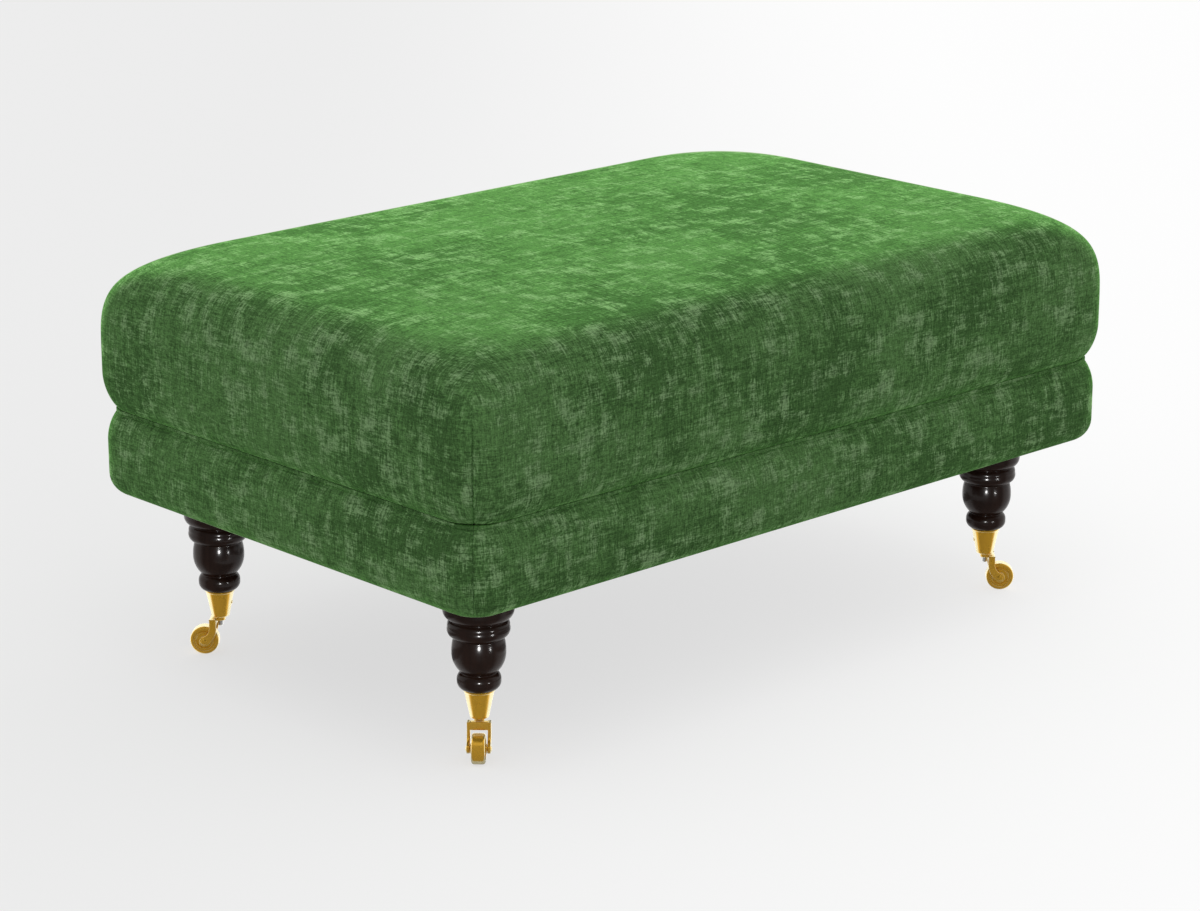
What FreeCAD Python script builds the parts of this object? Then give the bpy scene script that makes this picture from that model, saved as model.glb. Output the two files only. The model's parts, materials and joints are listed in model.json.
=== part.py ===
"""An upholstered footstool on turned legs with brass cup castors.

Row frame: +X along the length, +Y from the front long side to the back one, +Z up.
The origin is on the floor under the middle of the stool, and every number is in millimetres.

The stool is a padded hardwood frame covered in fabric. Webbing is woven across the frame's top, and a crowned
foam cushion in one fitted cover stands on it. Four turned legs bolt into plates in the frame's corners, and
each leg ends in a tapered brass cup, whose fork turns on a pintle and carries a brass wheel.
"""

import FreeCAD, Part

import math
import os

from FreeCAD import Vector as V

# Overall sizes of the seat cushion
SEAT_HALF_LENGTH = 470.0
SEAT_HALF_WIDTH = 305.0
SEAT_HEIGHT = 440.0
SEAT_BOTTOM = 272.5
COVER = 1.6  # thickness of the upholstery fabric

# The cushion's side profile, from its underside to its crown
CROWN = 10.0
LOWER_ROLL_IN = 16.8
LOWER_ROLL_UP = 38.3
TOP_ROLL_IN = 63.0
TOP_ROLL_DOWN = 88.9
TOP_ROLL_POWER = 2.9  # exponent of the top roll's superellipse
CORNER_RADIUS = 38.0  # in plan, where the corner seams are
TOP_CORNER_RADIUS = 150.0  # in plan, at the inner end of the top roll
FLAT_HALF_WIDTH = 34.0  # of the flat at the top of the crown
COVER_TUCK = 52.0  # how far the cover turns in under the foam, from its outer face

# The padded border round the frame
BORDER_HALF_LENGTH = 469.0
BORDER_HALF_WIDTH = 303.0
BORDER_CORNER_RADIUS = 41.0
BORDER_BOTTOM = 178.5
BORDER_TOP = 272.3
BORDER_ROLL = 24.0  # radius along the lower edge
SHOULDER_RADIUS = 52.3  # of the gentler roll under the groove
BAND_IN, BAND_BOTTOM = 9.6, 268.2  # of the narrow upright band in the groove, under the cushion
BORDER_TUCK = 37.0  # how far the border's fabric turns in over and under the rails
PADDING = 8.0

# The hardwood frame
RAIL_THICKNESS = 34.0
RAIL_BOTTOM = BORDER_BOTTOM + COVER
RAIL_TOP = 267.0
RAIL_ROUND_OVER = 20.0  # of the lower outer edge
RAIL_EASING = 8.0  # of the upper outer edge
TENON_LENGTH, TENON_THICKNESS, TENON_HEIGHT = 15.0, 12.0, 44.0
CENTRE_RAIL_WIDTH, CENTRE_RAIL_HEIGHT = 45.0, 58.0
CENTRE_RAIL_DROP = 11.0  # clear of the webbing, which sinks when the stool is sat on
PLATE_THICKNESS = 28.0
PLATE_REACH = 76.0  # from the leg's axis to the plate's free edges

# The suspension
STRAP_WIDTH = 50.0
STRAP_THICKNESS = 1.8
STRAP_LIFT = 1.9  # the step from a strap's low crossings to its high ones
STRAPS_ALONG = 4
STRAPS_ACROSS = 7
STRAP_GRIP = 9.0  # from a strap's end to the rail's outer face
CLOTH = 0.8  # thickness of the deck cloth and of the dust cover

# Where the legs stand, and how they are held
LEG_X = 379.0
LEG_Y = 209.0
BOLT_RADIUS = 4.0
BOLT_DEPTH = 30.0  # into the leg
NUT_FLATS, NUT_HEIGHT = 13.0, 6.5

# The castors, with heights above the floor
WHEEL_RADIUS = 15.5
WHEEL_HALF_WIDTH = 8.4  # over its hub
RIM_HALF_WIDTH = 6.9
TRAIL = 17.5  # from the swivel axis out to the axle
CUP_BOTTOM = 42.3
CUP_TOP = 72.4
CUP_BOTTOM_RADIUS = 9.3
CUP_TOP_RADIUS = 15.5
CUP_WALL = 1.8
CUP_FLOOR = 2.0
FORK_TOP = 40.6
FORK_HALF_WIDTH = 12.05
FORK_ARM = 3.4
BAR_BACK, BAR_FRONT, BAR_BOTTOM = 4.2, 11.3, 31.9
TONGUE_THICKNESS = 3.2
COLLAR_RADIUS = 5.2
PIN_RADIUS = 2.0
PIN_HEAD_RADIUS = 3.0
AXLE_PROUD = 1.1  # of each arm
RUNNING = 0.05  # radial clearance of a hole that turns on its pin

CORNERS = {
    "front_left": (-1, -1),
    "front_right": (1, -1),
    "back_left": (-1, 1),
    "back_right": (1, 1),
}
QUARTER_TURNS = {"front": 0, "right": 90, "back": 180, "left": 270}


# Outlines, and the shapes made from them


def line(a, b):
    """A straight edge between two points."""
    return Part.LineSegment(a, b).toShape()


def arc(a, through, b):
    """A circular edge between two points, through a third."""
    return Part.Arc(a, through, b).toShape()


def outline(steps, plane, curve=arc):
    """A closed face from steps of (point,) for a line or (through, point) for a curve.

    plane turns a pair of numbers into a point in space. The first step is the starting point.
    """
    start = here = plane(*steps[0][0])
    edges = []
    for step in steps[1:]:
        there = plane(*step[-1])
        edges.append(line(here, there) if len(step) == 1 else curve(here, plane(*step[0]), there))
        here = there
    if here.distanceToPoint(start) > 1e-6:
        edges.append(line(here, start))
    return Part.Face(Part.Wire(edges))


def turned_arc(a, through, b):
    """A circular edge held as a spline, which gives a turned surface far fewer facets than a torus has."""
    return Part.Arc(a, through, b).toBSpline().toShape()


def turned(steps):
    """A solid turned about the Z axis from a half outline of (radius, height) steps."""
    profile = outline(steps, lambda r, z: V(r, 0, z), turned_arc)
    return profile.revolve(V(0, 0, 0), V(0, 0, 1), 360)


def rod(radius, start, direction, length):
    """A round bar."""
    return Part.makeCylinder(radius, length, start, direction)


def slab(x0, x1, y0, y1, z0, z1):
    """A rectangular block between two corners."""
    return Part.makeBox(x1 - x0, y1 - y0, z1 - z0, V(x0, y0, z0))


def turned_to(side, shape):
    """Turns a piece built at the front to another side of the stool."""
    placed = shape.copy()
    placed.rotate(V(0, 0, 0), V(0, 0, 1), QUARTER_TURNS[side])
    return placed


def to_corner(shape, sx, sy):
    """Mirrors a shape built in the corner at +X and +Y into another corner."""
    if sx < 0:
        shape = shape.mirror(V(0, 0, 0), V(1, 0, 0))
    if sy < 0:
        shape = shape.mirror(V(0, 0, 0), V(0, 1, 0))
    return shape


def to_leg(shape, sx, sy):
    """Carries a shape built about the Z axis, with its castor trailing along +X, to a leg.

    Every castor is parked with its wheel outwards, at 45 degrees to the stool's sides.
    """
    placed = shape.copy()
    placed.rotate(V(0, 0, 0), V(0, 0, 1), math.degrees(math.atan2(sy, sx)))
    placed.translate(V(sx * LEG_X, sy * LEG_Y, 0))
    return placed


def at_every_leg(shape):
    """One group of the same piece at the four legs."""
    return Part.makeCompound([to_leg(shape, *corner) for corner in CORNERS.values()])


# The cushion: one side profile, carried round a plan whose corners open out towards the top


def section(half_length, half_width, radius, z):
    """A rounded rectangle at height z, as four arcs and four lines."""
    edges = []
    bend = radius * math.sin(math.pi / 4)
    x, y = half_length - radius, half_width - radius
    quarters = [(1, 1), (-1, 1), (-1, -1), (1, -1)]
    for (sx, sy), (nx, ny) in zip(quarters, quarters[1:] + quarters[:1]):
        ends = [V(sx * half_length, sy * y, z), V(sx * x, sy * half_width, z)]
        following = [V(nx * half_length, ny * y, z), V(nx * x, ny * half_width, z)]
        first, last = ends if sx * sy > 0 else ends[::-1]
        start_of_next = following[0] if nx * ny > 0 else following[1]
        edges.append(arc(first, V(sx * (x + bend), sy * (y + bend), z), last))
        edges.append(line(last, start_of_next))
    return Part.Wire(edges)


def crown_rise(inset, reach):
    """How far the crown has risen at a distance in from the outer face: a parabola that is level at reach."""
    return CROWN * (1 - (1 - min(inset / reach, 1.0)) ** 2)


def seat_stations(skin):
    """Stations (inset, height, corner radius) of the cushion's surface, or of one that lies skin inside it.

    The lower roll is a quarter ellipse and the top roll a quarter superellipse, each drawn about its own
    centre, and between them the side is upright. The crown then rises in a parabola to a small flat.
    """
    reach = SEAT_HALF_WIDTH - FLAT_HALF_WIDTH
    stations = []
    for degrees in (0, 45, 90):
        a = math.radians(degrees)
        inset = LOWER_ROLL_IN - (LOWER_ROLL_IN - skin) * math.sin(a)
        z = SEAT_BOTTOM + LOWER_ROLL_UP - (LOWER_ROLL_UP - skin) * math.cos(a)
        stations.append((inset, z, CORNER_RADIUS - skin))
    power = 2 / TOP_ROLL_POWER
    for degrees in (15, 30, 45, 60, 75, 90):
        a = math.radians(degrees)
        inset = TOP_ROLL_IN - (TOP_ROLL_IN - skin) * max(math.cos(a), 0.0) ** power
        rise = (TOP_ROLL_DOWN - skin) * math.sin(a) ** power
        z = SEAT_HEIGHT - CROWN - TOP_ROLL_DOWN + rise + crown_rise(inset, reach)
        opening = math.sin(math.pi / 2 * inset / TOP_ROLL_IN)
        stations.append((inset, z, CORNER_RADIUS - skin + (TOP_CORNER_RADIUS - CORNER_RADIUS) * opening))
    for share in (0.4, 1.0):
        inset = TOP_ROLL_IN + (reach - TOP_ROLL_IN) * share
        z = SEAT_HEIGHT - CROWN - skin + crown_rise(inset, reach)
        closing = (SEAT_HALF_WIDTH - inset) / (SEAT_HALF_WIDTH - TOP_ROLL_IN)
        stations.append((inset, z, (TOP_CORNER_RADIUS - skin) * closing * 0.95))
    return stations


def seat_body(skin):
    """The cushion's solid, or the one that lies skin inside it."""
    wires = [
        section(SEAT_HALF_LENGTH - inset, SEAT_HALF_WIDTH - inset, radius, z)
        for inset, z, radius in seat_stations(skin)
    ]
    return Part.makeLoft(wires, True, True)


def under_opening(inset, z0, z1):
    """The block that fills the cover's opening underneath, inset from the cushion's outer face."""
    wire = section(SEAT_HALF_LENGTH - inset, SEAT_HALF_WIDTH - inset, CORNER_RADIUS, z0)
    return Part.Face(wire).extrude(V(0, 0, z1 - z0))


def cushion():
    """The foam core, which stands on the deck, and the fitted cover that turns in under it."""
    foam = seat_body(COVER)
    opening = under_opening(COVER_TUCK, SEAT_BOTTOM - 1, SEAT_BOTTOM + COVER + 1)
    plug = under_opening(COVER_TUCK + 0.3, SEAT_BOTTOM - 0.8, SEAT_BOTTOM + COVER)
    return {
        "seat_cover": seat_body(0).cut(foam).cut(opening),
        "foam_core": foam.fuse(plug).removeSplitter(),
    }


# The border: a section carried along each side, and half way round the corner at each end


def border_face(skin):
    """Steps up the outside of the border's section, skin inside it, from the underside to the top.

    The first number is the distance in from the outer face, and the second is the height.
    """
    low, high = BORDER_ROLL - skin, SHOULDER_RADIUS - skin
    low_z = BORDER_BOTTOM + BORDER_ROLL
    high_z = BAND_BOTTOM - math.sqrt(SHOULDER_RADIUS ** 2 - (SHOULDER_RADIUS - BAND_IN) ** 2)
    bend = low * math.cos(math.pi / 4)
    sweep = math.acos((SHOULDER_RADIUS - BAND_IN - skin) / high)

    def on_shoulder(a):
        return SHOULDER_RADIUS - high * math.cos(a), high_z + high * math.sin(a)

    return [
        ((BORDER_ROLL, low_z - low),),
        ((BORDER_ROLL - bend, low_z - bend), (skin, low_z)),
        ((skin, high_z),),
        (on_shoulder(sweep / 2), on_shoulder(sweep)),
        ((BAND_IN + skin, BORDER_TOP - skin),),
    ]


def reversed_steps(steps):
    """The same run of steps, drawn from its end back to its start."""
    points = [step[-1] for step in steps]
    back = [(points[-1],)]
    for step, point in zip(steps[:0:-1], points[-2::-1]):
        back.append(step[:-1] + (point,))
    return back


def border_cover_section():
    """The border's fabric: a strip round the padding, turned in above and below."""
    top, bottom = BORDER_TOP - COVER, BORDER_BOTTOM + COVER
    return (
        [((BORDER_TUCK, BORDER_BOTTOM),)]
        + border_face(0)
        + [((BORDER_TUCK, BORDER_TOP),), ((BORDER_TUCK, top),)]
        + reversed_steps(border_face(COVER))
        + [((BORDER_TUCK, bottom),)]
    )


def padding_section():
    """The padding, which fills what the fabric leaves round a rail and over its edge."""
    back, top = COVER + PADDING, BORDER_TOP - COVER
    centre = (back + RAIL_ROUND_OVER, RAIL_BOTTOM + RAIL_ROUND_OVER)
    start = math.acos((centre[0] - BORDER_ROLL) / RAIL_ROUND_OVER)
    eased = back + RAIL_EASING
    on_easing = RAIL_EASING * (1 - math.cos(math.pi / 4))

    def on_round_over(a):
        return centre[0] - RAIL_ROUND_OVER * math.cos(a), centre[1] - RAIL_ROUND_OVER * math.sin(a)

    strap_top = RAIL_TOP + STRAP_THICKNESS
    return (
        border_face(COVER)
        + [((BORDER_TUCK, top),), ((BORDER_TUCK, strap_top),), ((eased, strap_top),), ((eased, RAIL_TOP),)]
        + [((back + on_easing, RAIL_TOP - on_easing), (back, RAIL_TOP - RAIL_EASING))]
        + [((back, centre[1]),), (on_round_over(start / 2), on_round_over(start))]
    )


def border_side(steps, along, face):
    """One side of the border, at the front: its section carried along the side and 45 degrees round each end.

    along and face are the distances from the stool's middle to the side's ends and to its outer face.
    """
    run = along - BORDER_CORNER_RADIUS
    pieces = []
    for side in (-1, 1):
        end = outline(steps, lambda inset, z: V(side * run, -face + inset, z), turned_arc)
        axis = V(side * run, -face + BORDER_CORNER_RADIUS, 0)
        pieces.append(end.revolve(axis, V(0, 0, 1), side * 45))
    straight = outline(steps, lambda inset, z: V(-run, -face + inset, z)).extrude(V(2 * run, 0, 0))
    return straight.fuse(pieces).removeSplitter()


def border():
    """The four covered sides of the border, seamed at the corners, and the padding in them."""
    nodes, strips = {}, []
    for side in QUARTER_TURNS:
        sizes = (BORDER_HALF_LENGTH, BORDER_HALF_WIDTH)
        along, face = sizes if side in ("front", "back") else sizes[::-1]
        nodes["border_cover_" + side] = turned_to(side, border_side(border_cover_section(), along, face))
        strips.append(turned_to(side, border_side(padding_section(), along, face)))
    nodes["border_padding"] = Part.makeCompound(strips)
    return nodes


# The hardwood frame


def frame_size():
    """How far the frame's outer faces stand from the middle, along X and along Y."""
    inset = COVER + PADDING
    return BORDER_HALF_LENGTH - inset, BORDER_HALF_WIDTH - inset


def rail_ring():
    """The four rails as one ring, rounded at the corners and along the outer edges."""
    x, y = frame_size()
    outside = section(x, y, BORDER_CORNER_RADIUS - COVER - PADDING, RAIL_BOTTOM)
    block = Part.Face(outside).extrude(V(0, 0, RAIL_TOP - RAIL_BOTTOM))
    lower = [edge for edge in block.Edges if edge.BoundBox.ZMax < RAIL_BOTTOM + 1]
    block = block.makeFillet(RAIL_ROUND_OVER, lower)
    upper = [edge for edge in block.Edges if edge.BoundBox.ZMin > RAIL_TOP - 1]
    block = block.makeFillet(RAIL_EASING, upper)
    inner_x, inner_y = x - RAIL_THICKNESS, y - RAIL_THICKNESS
    return block.cut(slab(-inner_x, inner_x, -inner_y, inner_y, RAIL_BOTTOM - 1, RAIL_TOP + 1))


def side_tenon():
    """The stub tenon of a side rail into a long rail, at +X and +Y."""
    x, y = frame_size()
    middle, joint = x - RAIL_THICKNESS / 2, y - RAIL_THICKNESS
    z = (RAIL_BOTTOM + RAIL_TOP) / 2
    half_thick, half_high = TENON_THICKNESS / 2, TENON_HEIGHT / 2
    return slab(middle - half_thick, middle + half_thick, joint - 1, joint + TENON_LENGTH,
                z - half_high, z + half_high)


def centre_rail():
    """The rail across the middle, with a stub tenon into each long rail."""
    inner = frame_size()[1] - RAIL_THICKNESS
    half, top = CENTRE_RAIL_WIDTH / 2, RAIL_TOP - CENTRE_RAIL_DROP
    body = slab(-half, half, -inner, inner, top - CENTRE_RAIL_HEIGHT, top)
    margin, reach = (CENTRE_RAIL_HEIGHT - TENON_HEIGHT) / 2, inner + TENON_LENGTH
    tenon = slab(-TENON_THICKNESS / 2, TENON_THICKNESS / 2, -reach, reach,
                 top - CENTRE_RAIL_HEIGHT + margin, top - margin)
    return body.fuse(tenon).removeSplitter()


def leg_plate():
    """The plate glued into the corner at +X and +Y, which a leg bolts to."""
    x, y = frame_size()
    inner_x, inner_y = x - RAIL_THICKNESS, y - RAIL_THICKNESS
    near = PLATE_REACH / 4
    steps = [
        ((inner_x, inner_y),),
        ((LEG_X - PLATE_REACH, inner_y),),
        ((LEG_X - PLATE_REACH, LEG_Y - near),),
        ((LEG_X - near, LEG_Y - PLATE_REACH),),
        ((inner_x, LEG_Y - PLATE_REACH),),
    ]
    plate = outline(steps, lambda px, py: V(px, py, BORDER_BOTTOM)).extrude(V(0, 0, PLATE_THICKNESS))
    return plate.cut(rod(BOLT_RADIUS, V(LEG_X, LEG_Y, BORDER_BOTTOM), V(0, 0, 1), PLATE_THICKNESS))


def leg_bolt():
    """The hanger bolt, which screws into the leg's top and goes up through the plate."""
    bottom = leg_top() - BOLT_DEPTH
    top = BORDER_BOTTOM + PLATE_THICKNESS + NUT_HEIGHT + 4
    return rod(BOLT_RADIUS, V(0, 0, bottom), V(0, 0, 1), top - bottom)


def leg_nut():
    """The hexagon nut on a leg plate."""
    radius = NUT_FLATS / math.sqrt(3)
    z = BORDER_BOTTOM + PLATE_THICKNESS
    turns = [math.radians(60 * i) for i in range(6)]
    steps = [((radius * math.cos(a), radius * math.sin(a)),) for a in turns]
    nut = outline(steps, lambda x, y: V(x, y, z)).extrude(V(0, 0, NUT_HEIGHT))
    return nut.cut(rod(BOLT_RADIUS, V(0, 0, z), V(0, 0, 1), NUT_HEIGHT))


def frame():
    """Rails, centre rail and leg plates, with the bolts and nuts that hold the legs."""
    x, y = frame_size()
    ring = rail_ring()
    joint = y - RAIL_THICKNESS
    tenons = [to_corner(side_tenon(), *corner) for corner in CORNERS.values()]
    middle = centre_rail()
    between = slab(-x - 1, x + 1, -joint, joint, RAIL_BOTTOM - 1, RAIL_TOP + 1)
    long_rails, side_rails = ring.cut(between), ring.common(between)
    nodes = {"centre_rail": middle}
    for rail in long_rails.Solids:
        name = "back_rail" if rail.CenterOfMass.y > 0 else "front_rail"
        nodes[name] = rail.cut(tenons + [middle])
    for rail in side_rails.Solids:
        sign = 1 if rail.CenterOfMass.x > 0 else -1
        own = [tenon for tenon in tenons if tenon.CenterOfMass.x * sign > 0]
        nodes["right_rail" if sign > 0 else "left_rail"] = rail.fuse(own).removeSplitter()
    for name, corner in CORNERS.items():
        nodes[name + "_leg_plate"] = to_corner(leg_plate(), *corner)
    nodes["leg_bolts"] = at_every_leg(leg_bolt())
    nodes["leg_nuts"] = at_every_leg(leg_nut())
    return nodes


# The suspension under the cushion, and the cloths above and below


def strap(half_run, crossings, starts_high):
    """A webbing strap along X that passes over and under the straps at crossings, and lies flat on the rails."""
    low = RAIL_TOP
    stops = [(-half_run, low)]
    for i, place in enumerate(crossings):
        stops.append((place, low + (STRAP_LIFT if (i % 2 == 0) == starts_high else 0.0)))
    stops.append((half_run, low))
    flat = STRAP_WIDTH / 2 - 2
    run = [stops[0]]
    for (x0, z0), (x1, z1) in zip(stops, stops[1:]):
        if z0 != z1:
            run += [(x0 + flat, z0), (x1 - flat, z1)]
    run.append(stops[-1])
    upper = [(px, pz + STRAP_THICKNESS) for px, pz in reversed(run)]
    side = outline([(point,) for point in run + upper], lambda px, pz: V(px, -STRAP_WIDTH / 2, pz))
    return side.extrude(V(0, STRAP_WIDTH, 0))


def evenly(count, reach):
    """Places of count straps, evenly spaced between -reach and reach."""
    step = 2 * reach / count
    return [step * (i - (count - 1) / 2) for i in range(count)]


def suspension():
    """Webbing woven both ways across the frame's top, the deck cloth on it, and the dust cover underneath."""
    x, y = frame_size()
    across_at = evenly(STRAPS_ACROSS, x - RAIL_THICKNESS)
    along_at = evenly(STRAPS_ALONG, y - RAIL_THICKNESS)
    along, across = [], []
    for i, place in enumerate(along_at):
        piece = strap(x - STRAP_GRIP, across_at, i % 2 == 0)
        piece.translate(V(0, place, 0))
        along.append(piece)
    for i, place in enumerate(across_at):
        piece = strap(y - STRAP_GRIP, along_at, i % 2 == 1)
        piece.rotate(V(0, 0, 0), V(0, 0, 1), 90)
        piece.translate(V(place, 0, 0))
        across.append(piece)
    deck_z = RAIL_TOP + STRAP_LIFT + STRAP_THICKNESS + 0.1
    deck = slab(-x + RAIL_THICKNESS, x - RAIL_THICKNESS, -y + RAIL_THICKNESS, y - RAIL_THICKNESS,
                deck_z, deck_z + CLOTH)
    margin = RAIL_THICKNESS / 2
    dust = slab(margin - x, x - margin, margin - y, y - margin, BORDER_BOTTOM - CLOTH, BORDER_BOTTOM)
    return {
        "webbing_lengthwise": Part.makeCompound(along),
        "webbing_crosswise": Part.makeCompound(across),
        "deck_cloth": deck,
        "dust_cover": dust.cut([to_leg(leg_bolt(), *corner) for corner in CORNERS.values()]),
    }


# The turned legs


def leg_top():
    """Height of a leg's top, against the dust cover."""
    return BORDER_BOTTOM - CLOTH


def cup_inside(z):
    """Inside radius of a castor's cup at height z."""
    taper = (CUP_TOP_RADIUS - CUP_BOTTOM_RADIUS) / (CUP_TOP - CUP_BOTTOM)
    return CUP_BOTTOM_RADIUS - CUP_WALL + taper * (z - CUP_BOTTOM)


def leg():
    """A leg turned from one piece: a tenon for the cup, a bead, a vase, a ring and the top flange."""
    tenon, seat = CUP_BOTTOM + CUP_FLOOR + 4, CUP_TOP
    body = turned([
        ((0, tenon),),
        ((cup_inside(tenon), tenon),),
        ((cup_inside(seat), seat),),
        ((CUP_TOP_RADIUS, seat),),
        ((22.0, 81.9), (17.8, 90.5)),
        ((24.2, 98.7), (27.1, 112.2)),
        ((26.6, 119.5), (24.8, 127.1)),
        ((30.8, 136.8), (27.8, 145.7)),
        ((33.6, 148.6), (35.5, 154.4)),
        ((35.5, leg_top()),),
        ((0, leg_top()),),
    ])
    return body.cut(leg_bolt())


# The castors, built about the Z axis with the wheel out along +X


def castor_cup():
    """The tapered cup that the leg's tenon sits in, with a floor that the pintle is riveted through."""
    floor = CUP_BOTTOM + CUP_FLOOR
    return turned([
        ((PIN_RADIUS, CUP_BOTTOM),),
        ((CUP_BOTTOM_RADIUS, CUP_BOTTOM),),
        ((CUP_TOP_RADIUS, CUP_TOP),),
        ((cup_inside(CUP_TOP), CUP_TOP),),
        ((cup_inside(floor), floor),),
        ((PIN_RADIUS, floor),),
    ])


def pintle():
    """The rivet that the fork turns on: fast in the cup's floor, with its head under the fork's tongue."""
    head_top = FORK_TOP - TONGUE_THICKNESS - 0.1
    return turned([
        ((0, BAR_BOTTOM - 1),),
        ((PIN_HEAD_RADIUS, BAR_BOTTOM - 1),),
        ((PIN_HEAD_RADIUS, head_top),),
        ((PIN_RADIUS, head_top),),
        ((PIN_RADIUS, CUP_BOTTOM + CUP_FLOOR),),
        ((0, CUP_BOTTOM + CUP_FLOOR),),
    ])


def fork_arm(y):
    """An arm of the fork: upright at the bar, then swept out to an eye round the axle."""
    steps = [
        ((BAR_BACK, FORK_TOP),),
        ((3.8, 31.0),),
        ((6.4, 20.4), (14.1, 11.8)),
        ((TRAIL + 3.55, WHEEL_RADIUS - 3.5), (19.8, 20.0)),
        ((13.6, 24.3), (BAR_FRONT, 31.0)),
        ((BAR_FRONT, FORK_TOP),),
    ]
    return outline(steps, lambda x, z: V(x, y, z)).extrude(V(0, FORK_ARM, 0))


def castor_fork():
    """The cast fork: two arms, the bar that joins them, and a tongue with a collar round the pintle."""
    inner = FORK_HALF_WIDTH - FORK_ARM
    bar = slab(BAR_BACK, BAR_FRONT, -inner, inner, BAR_BOTTOM, FORK_TOP)
    tongue = slab(0, BAR_BACK, -COLLAR_RADIUS, COLLAR_RADIUS, FORK_TOP - TONGUE_THICKNESS, FORK_TOP)
    collar_height = CUP_BOTTOM - 0.1 - FORK_TOP + TONGUE_THICKNESS
    collar = rod(COLLAR_RADIUS, V(0, 0, FORK_TOP - TONGUE_THICKNESS), V(0, 0, 1), collar_height)
    body = fork_arm(inner).fuse([fork_arm(-FORK_HALF_WIDTH), bar, tongue, collar]).removeSplitter()
    pintle_hole = rod(PIN_RADIUS + RUNNING, V(0, 0, BAR_BOTTOM), V(0, 0, 1), 20)
    axle_hole = rod(PIN_RADIUS, V(TRAIL, -FORK_HALF_WIDTH, WHEEL_RADIUS), V(0, 1, 0), 2 * FORK_HALF_WIDTH)
    return body.cut([pintle_hole, axle_hole])


def on_axle(steps):
    """A solid turned about the wheel's axle, from a half outline of (distance along it, radius) steps."""
    face = outline(steps, lambda y, r: V(TRAIL, y, WHEEL_RADIUS + r), turned_arc)
    return face.revolve(V(TRAIL, 0, WHEEL_RADIUS), V(0, 1, 0), 360)


def castor_axle():
    """The axle, fast in both arms, with its ends standing a little proud."""
    half = FORK_HALF_WIDTH + AXLE_PROUD
    return rod(PIN_RADIUS, V(TRAIL, -half, WHEEL_RADIUS), V(0, 1, 0), 2 * half)


def castor_wheel():
    """The solid wheel: a hub, a hollow turned into each side, and a barrelled tread."""
    bore, hub, rim = PIN_RADIUS + RUNNING, 5.0, 13.6
    return on_axle([
        ((-WHEEL_HALF_WIDTH, bore),),
        ((WHEEL_HALF_WIDTH, bore),),
        ((WHEEL_HALF_WIDTH, hub),),
        ((4.6, 9.2), (RIM_HALF_WIDTH, rim)),
        ((0, WHEEL_RADIUS), (-RIM_HALF_WIDTH, rim)),
        ((-4.6, 9.2), (-WHEEL_HALF_WIDTH, hub)),
    ])


def legs_and_castors():
    """The four legs, and the castor on each."""
    nodes = {"castor_pintles": at_every_leg(pintle())}
    pieces = {
        "leg": leg(),
        "castor_cup": castor_cup(),
        "castor_fork": castor_fork(),
        "castor_axle": castor_axle(),
        "castor_wheel": castor_wheel(),
    }
    for corner_name, corner in CORNERS.items():
        for piece_name, piece in pieces.items():
            nodes[corner_name + "_" + piece_name] = to_leg(piece, *corner)
    return nodes


def main():
    """Builds every piece and writes one STEP file per node."""
    os.makedirs("parts", exist_ok=True)
    nodes = {}
    for make in (cushion, border, frame, suspension, legs_and_castors):
        nodes.update(make())
    for name, shape in nodes.items():
        if not shape.isValid() or not shape.Solids:
            print("not a valid solid:", name)
        shape.exportStep(os.path.join("parts", name + ".step"))
    print(len(nodes), "nodes")


main()
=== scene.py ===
"""The looks of an upholstered footstool on turned legs with brass cup castors.

Everything is in metres in the row frame: +X along the length, +Y from the front long side to the back one,
+Z up, and the floor at z = 0. Sizes are written in millimetres and turned to metres by MM. Every new piece
is a surface worked out with numpy, stands where the frame's own solid stands, and rides on a body of the
frame.
"""

import json
import logging
import math
from collections.abc import Callable
from dataclasses import dataclass
from enum import Enum

import bmesh
import bpy
import numpy as np
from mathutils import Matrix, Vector

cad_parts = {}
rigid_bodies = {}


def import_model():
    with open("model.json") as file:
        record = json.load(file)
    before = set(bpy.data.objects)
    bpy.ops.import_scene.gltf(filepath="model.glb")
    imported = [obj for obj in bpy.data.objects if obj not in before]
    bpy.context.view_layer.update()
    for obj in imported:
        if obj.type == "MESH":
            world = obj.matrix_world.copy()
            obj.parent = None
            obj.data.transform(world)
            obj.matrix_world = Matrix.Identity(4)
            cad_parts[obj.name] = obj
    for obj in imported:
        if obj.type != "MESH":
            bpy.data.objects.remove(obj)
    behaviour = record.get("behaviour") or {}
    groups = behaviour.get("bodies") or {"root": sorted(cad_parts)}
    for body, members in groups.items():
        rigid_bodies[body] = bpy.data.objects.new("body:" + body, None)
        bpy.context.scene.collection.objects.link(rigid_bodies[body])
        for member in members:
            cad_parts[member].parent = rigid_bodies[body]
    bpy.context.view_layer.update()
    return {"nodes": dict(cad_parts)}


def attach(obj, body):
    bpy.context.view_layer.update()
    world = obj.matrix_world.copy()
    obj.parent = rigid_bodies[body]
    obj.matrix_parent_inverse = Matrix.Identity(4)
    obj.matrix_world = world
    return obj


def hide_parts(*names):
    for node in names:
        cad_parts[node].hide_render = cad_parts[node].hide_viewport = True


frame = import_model()

MM = 0.001
QUARTER = math.pi / 2
SAME_POINT = 1e-9
LEG_X = 379 * MM
LEG_Y = 209 * MM
STOOL = "stool"

log = logging.getLogger("footstool")

Array = np.ndarray
Faces = list[tuple[int, ...]]
Socket = bpy.types.NodeSocket
Triple = tuple[float, float, float]
Colour = tuple[float, float, float, float]


class Corner(Enum):
    """The stool's four corners, as the signs of X and Y."""

    FRONT_LEFT = (-1, -1)
    FRONT_RIGHT = (1, -1)
    BACK_LEFT = (-1, 1)
    BACK_RIGHT = (1, 1)

    @property
    def label(self) -> str:
        """The corner's name as the frame's bodies and nodes begin."""
        return self.name.lower()


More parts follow.
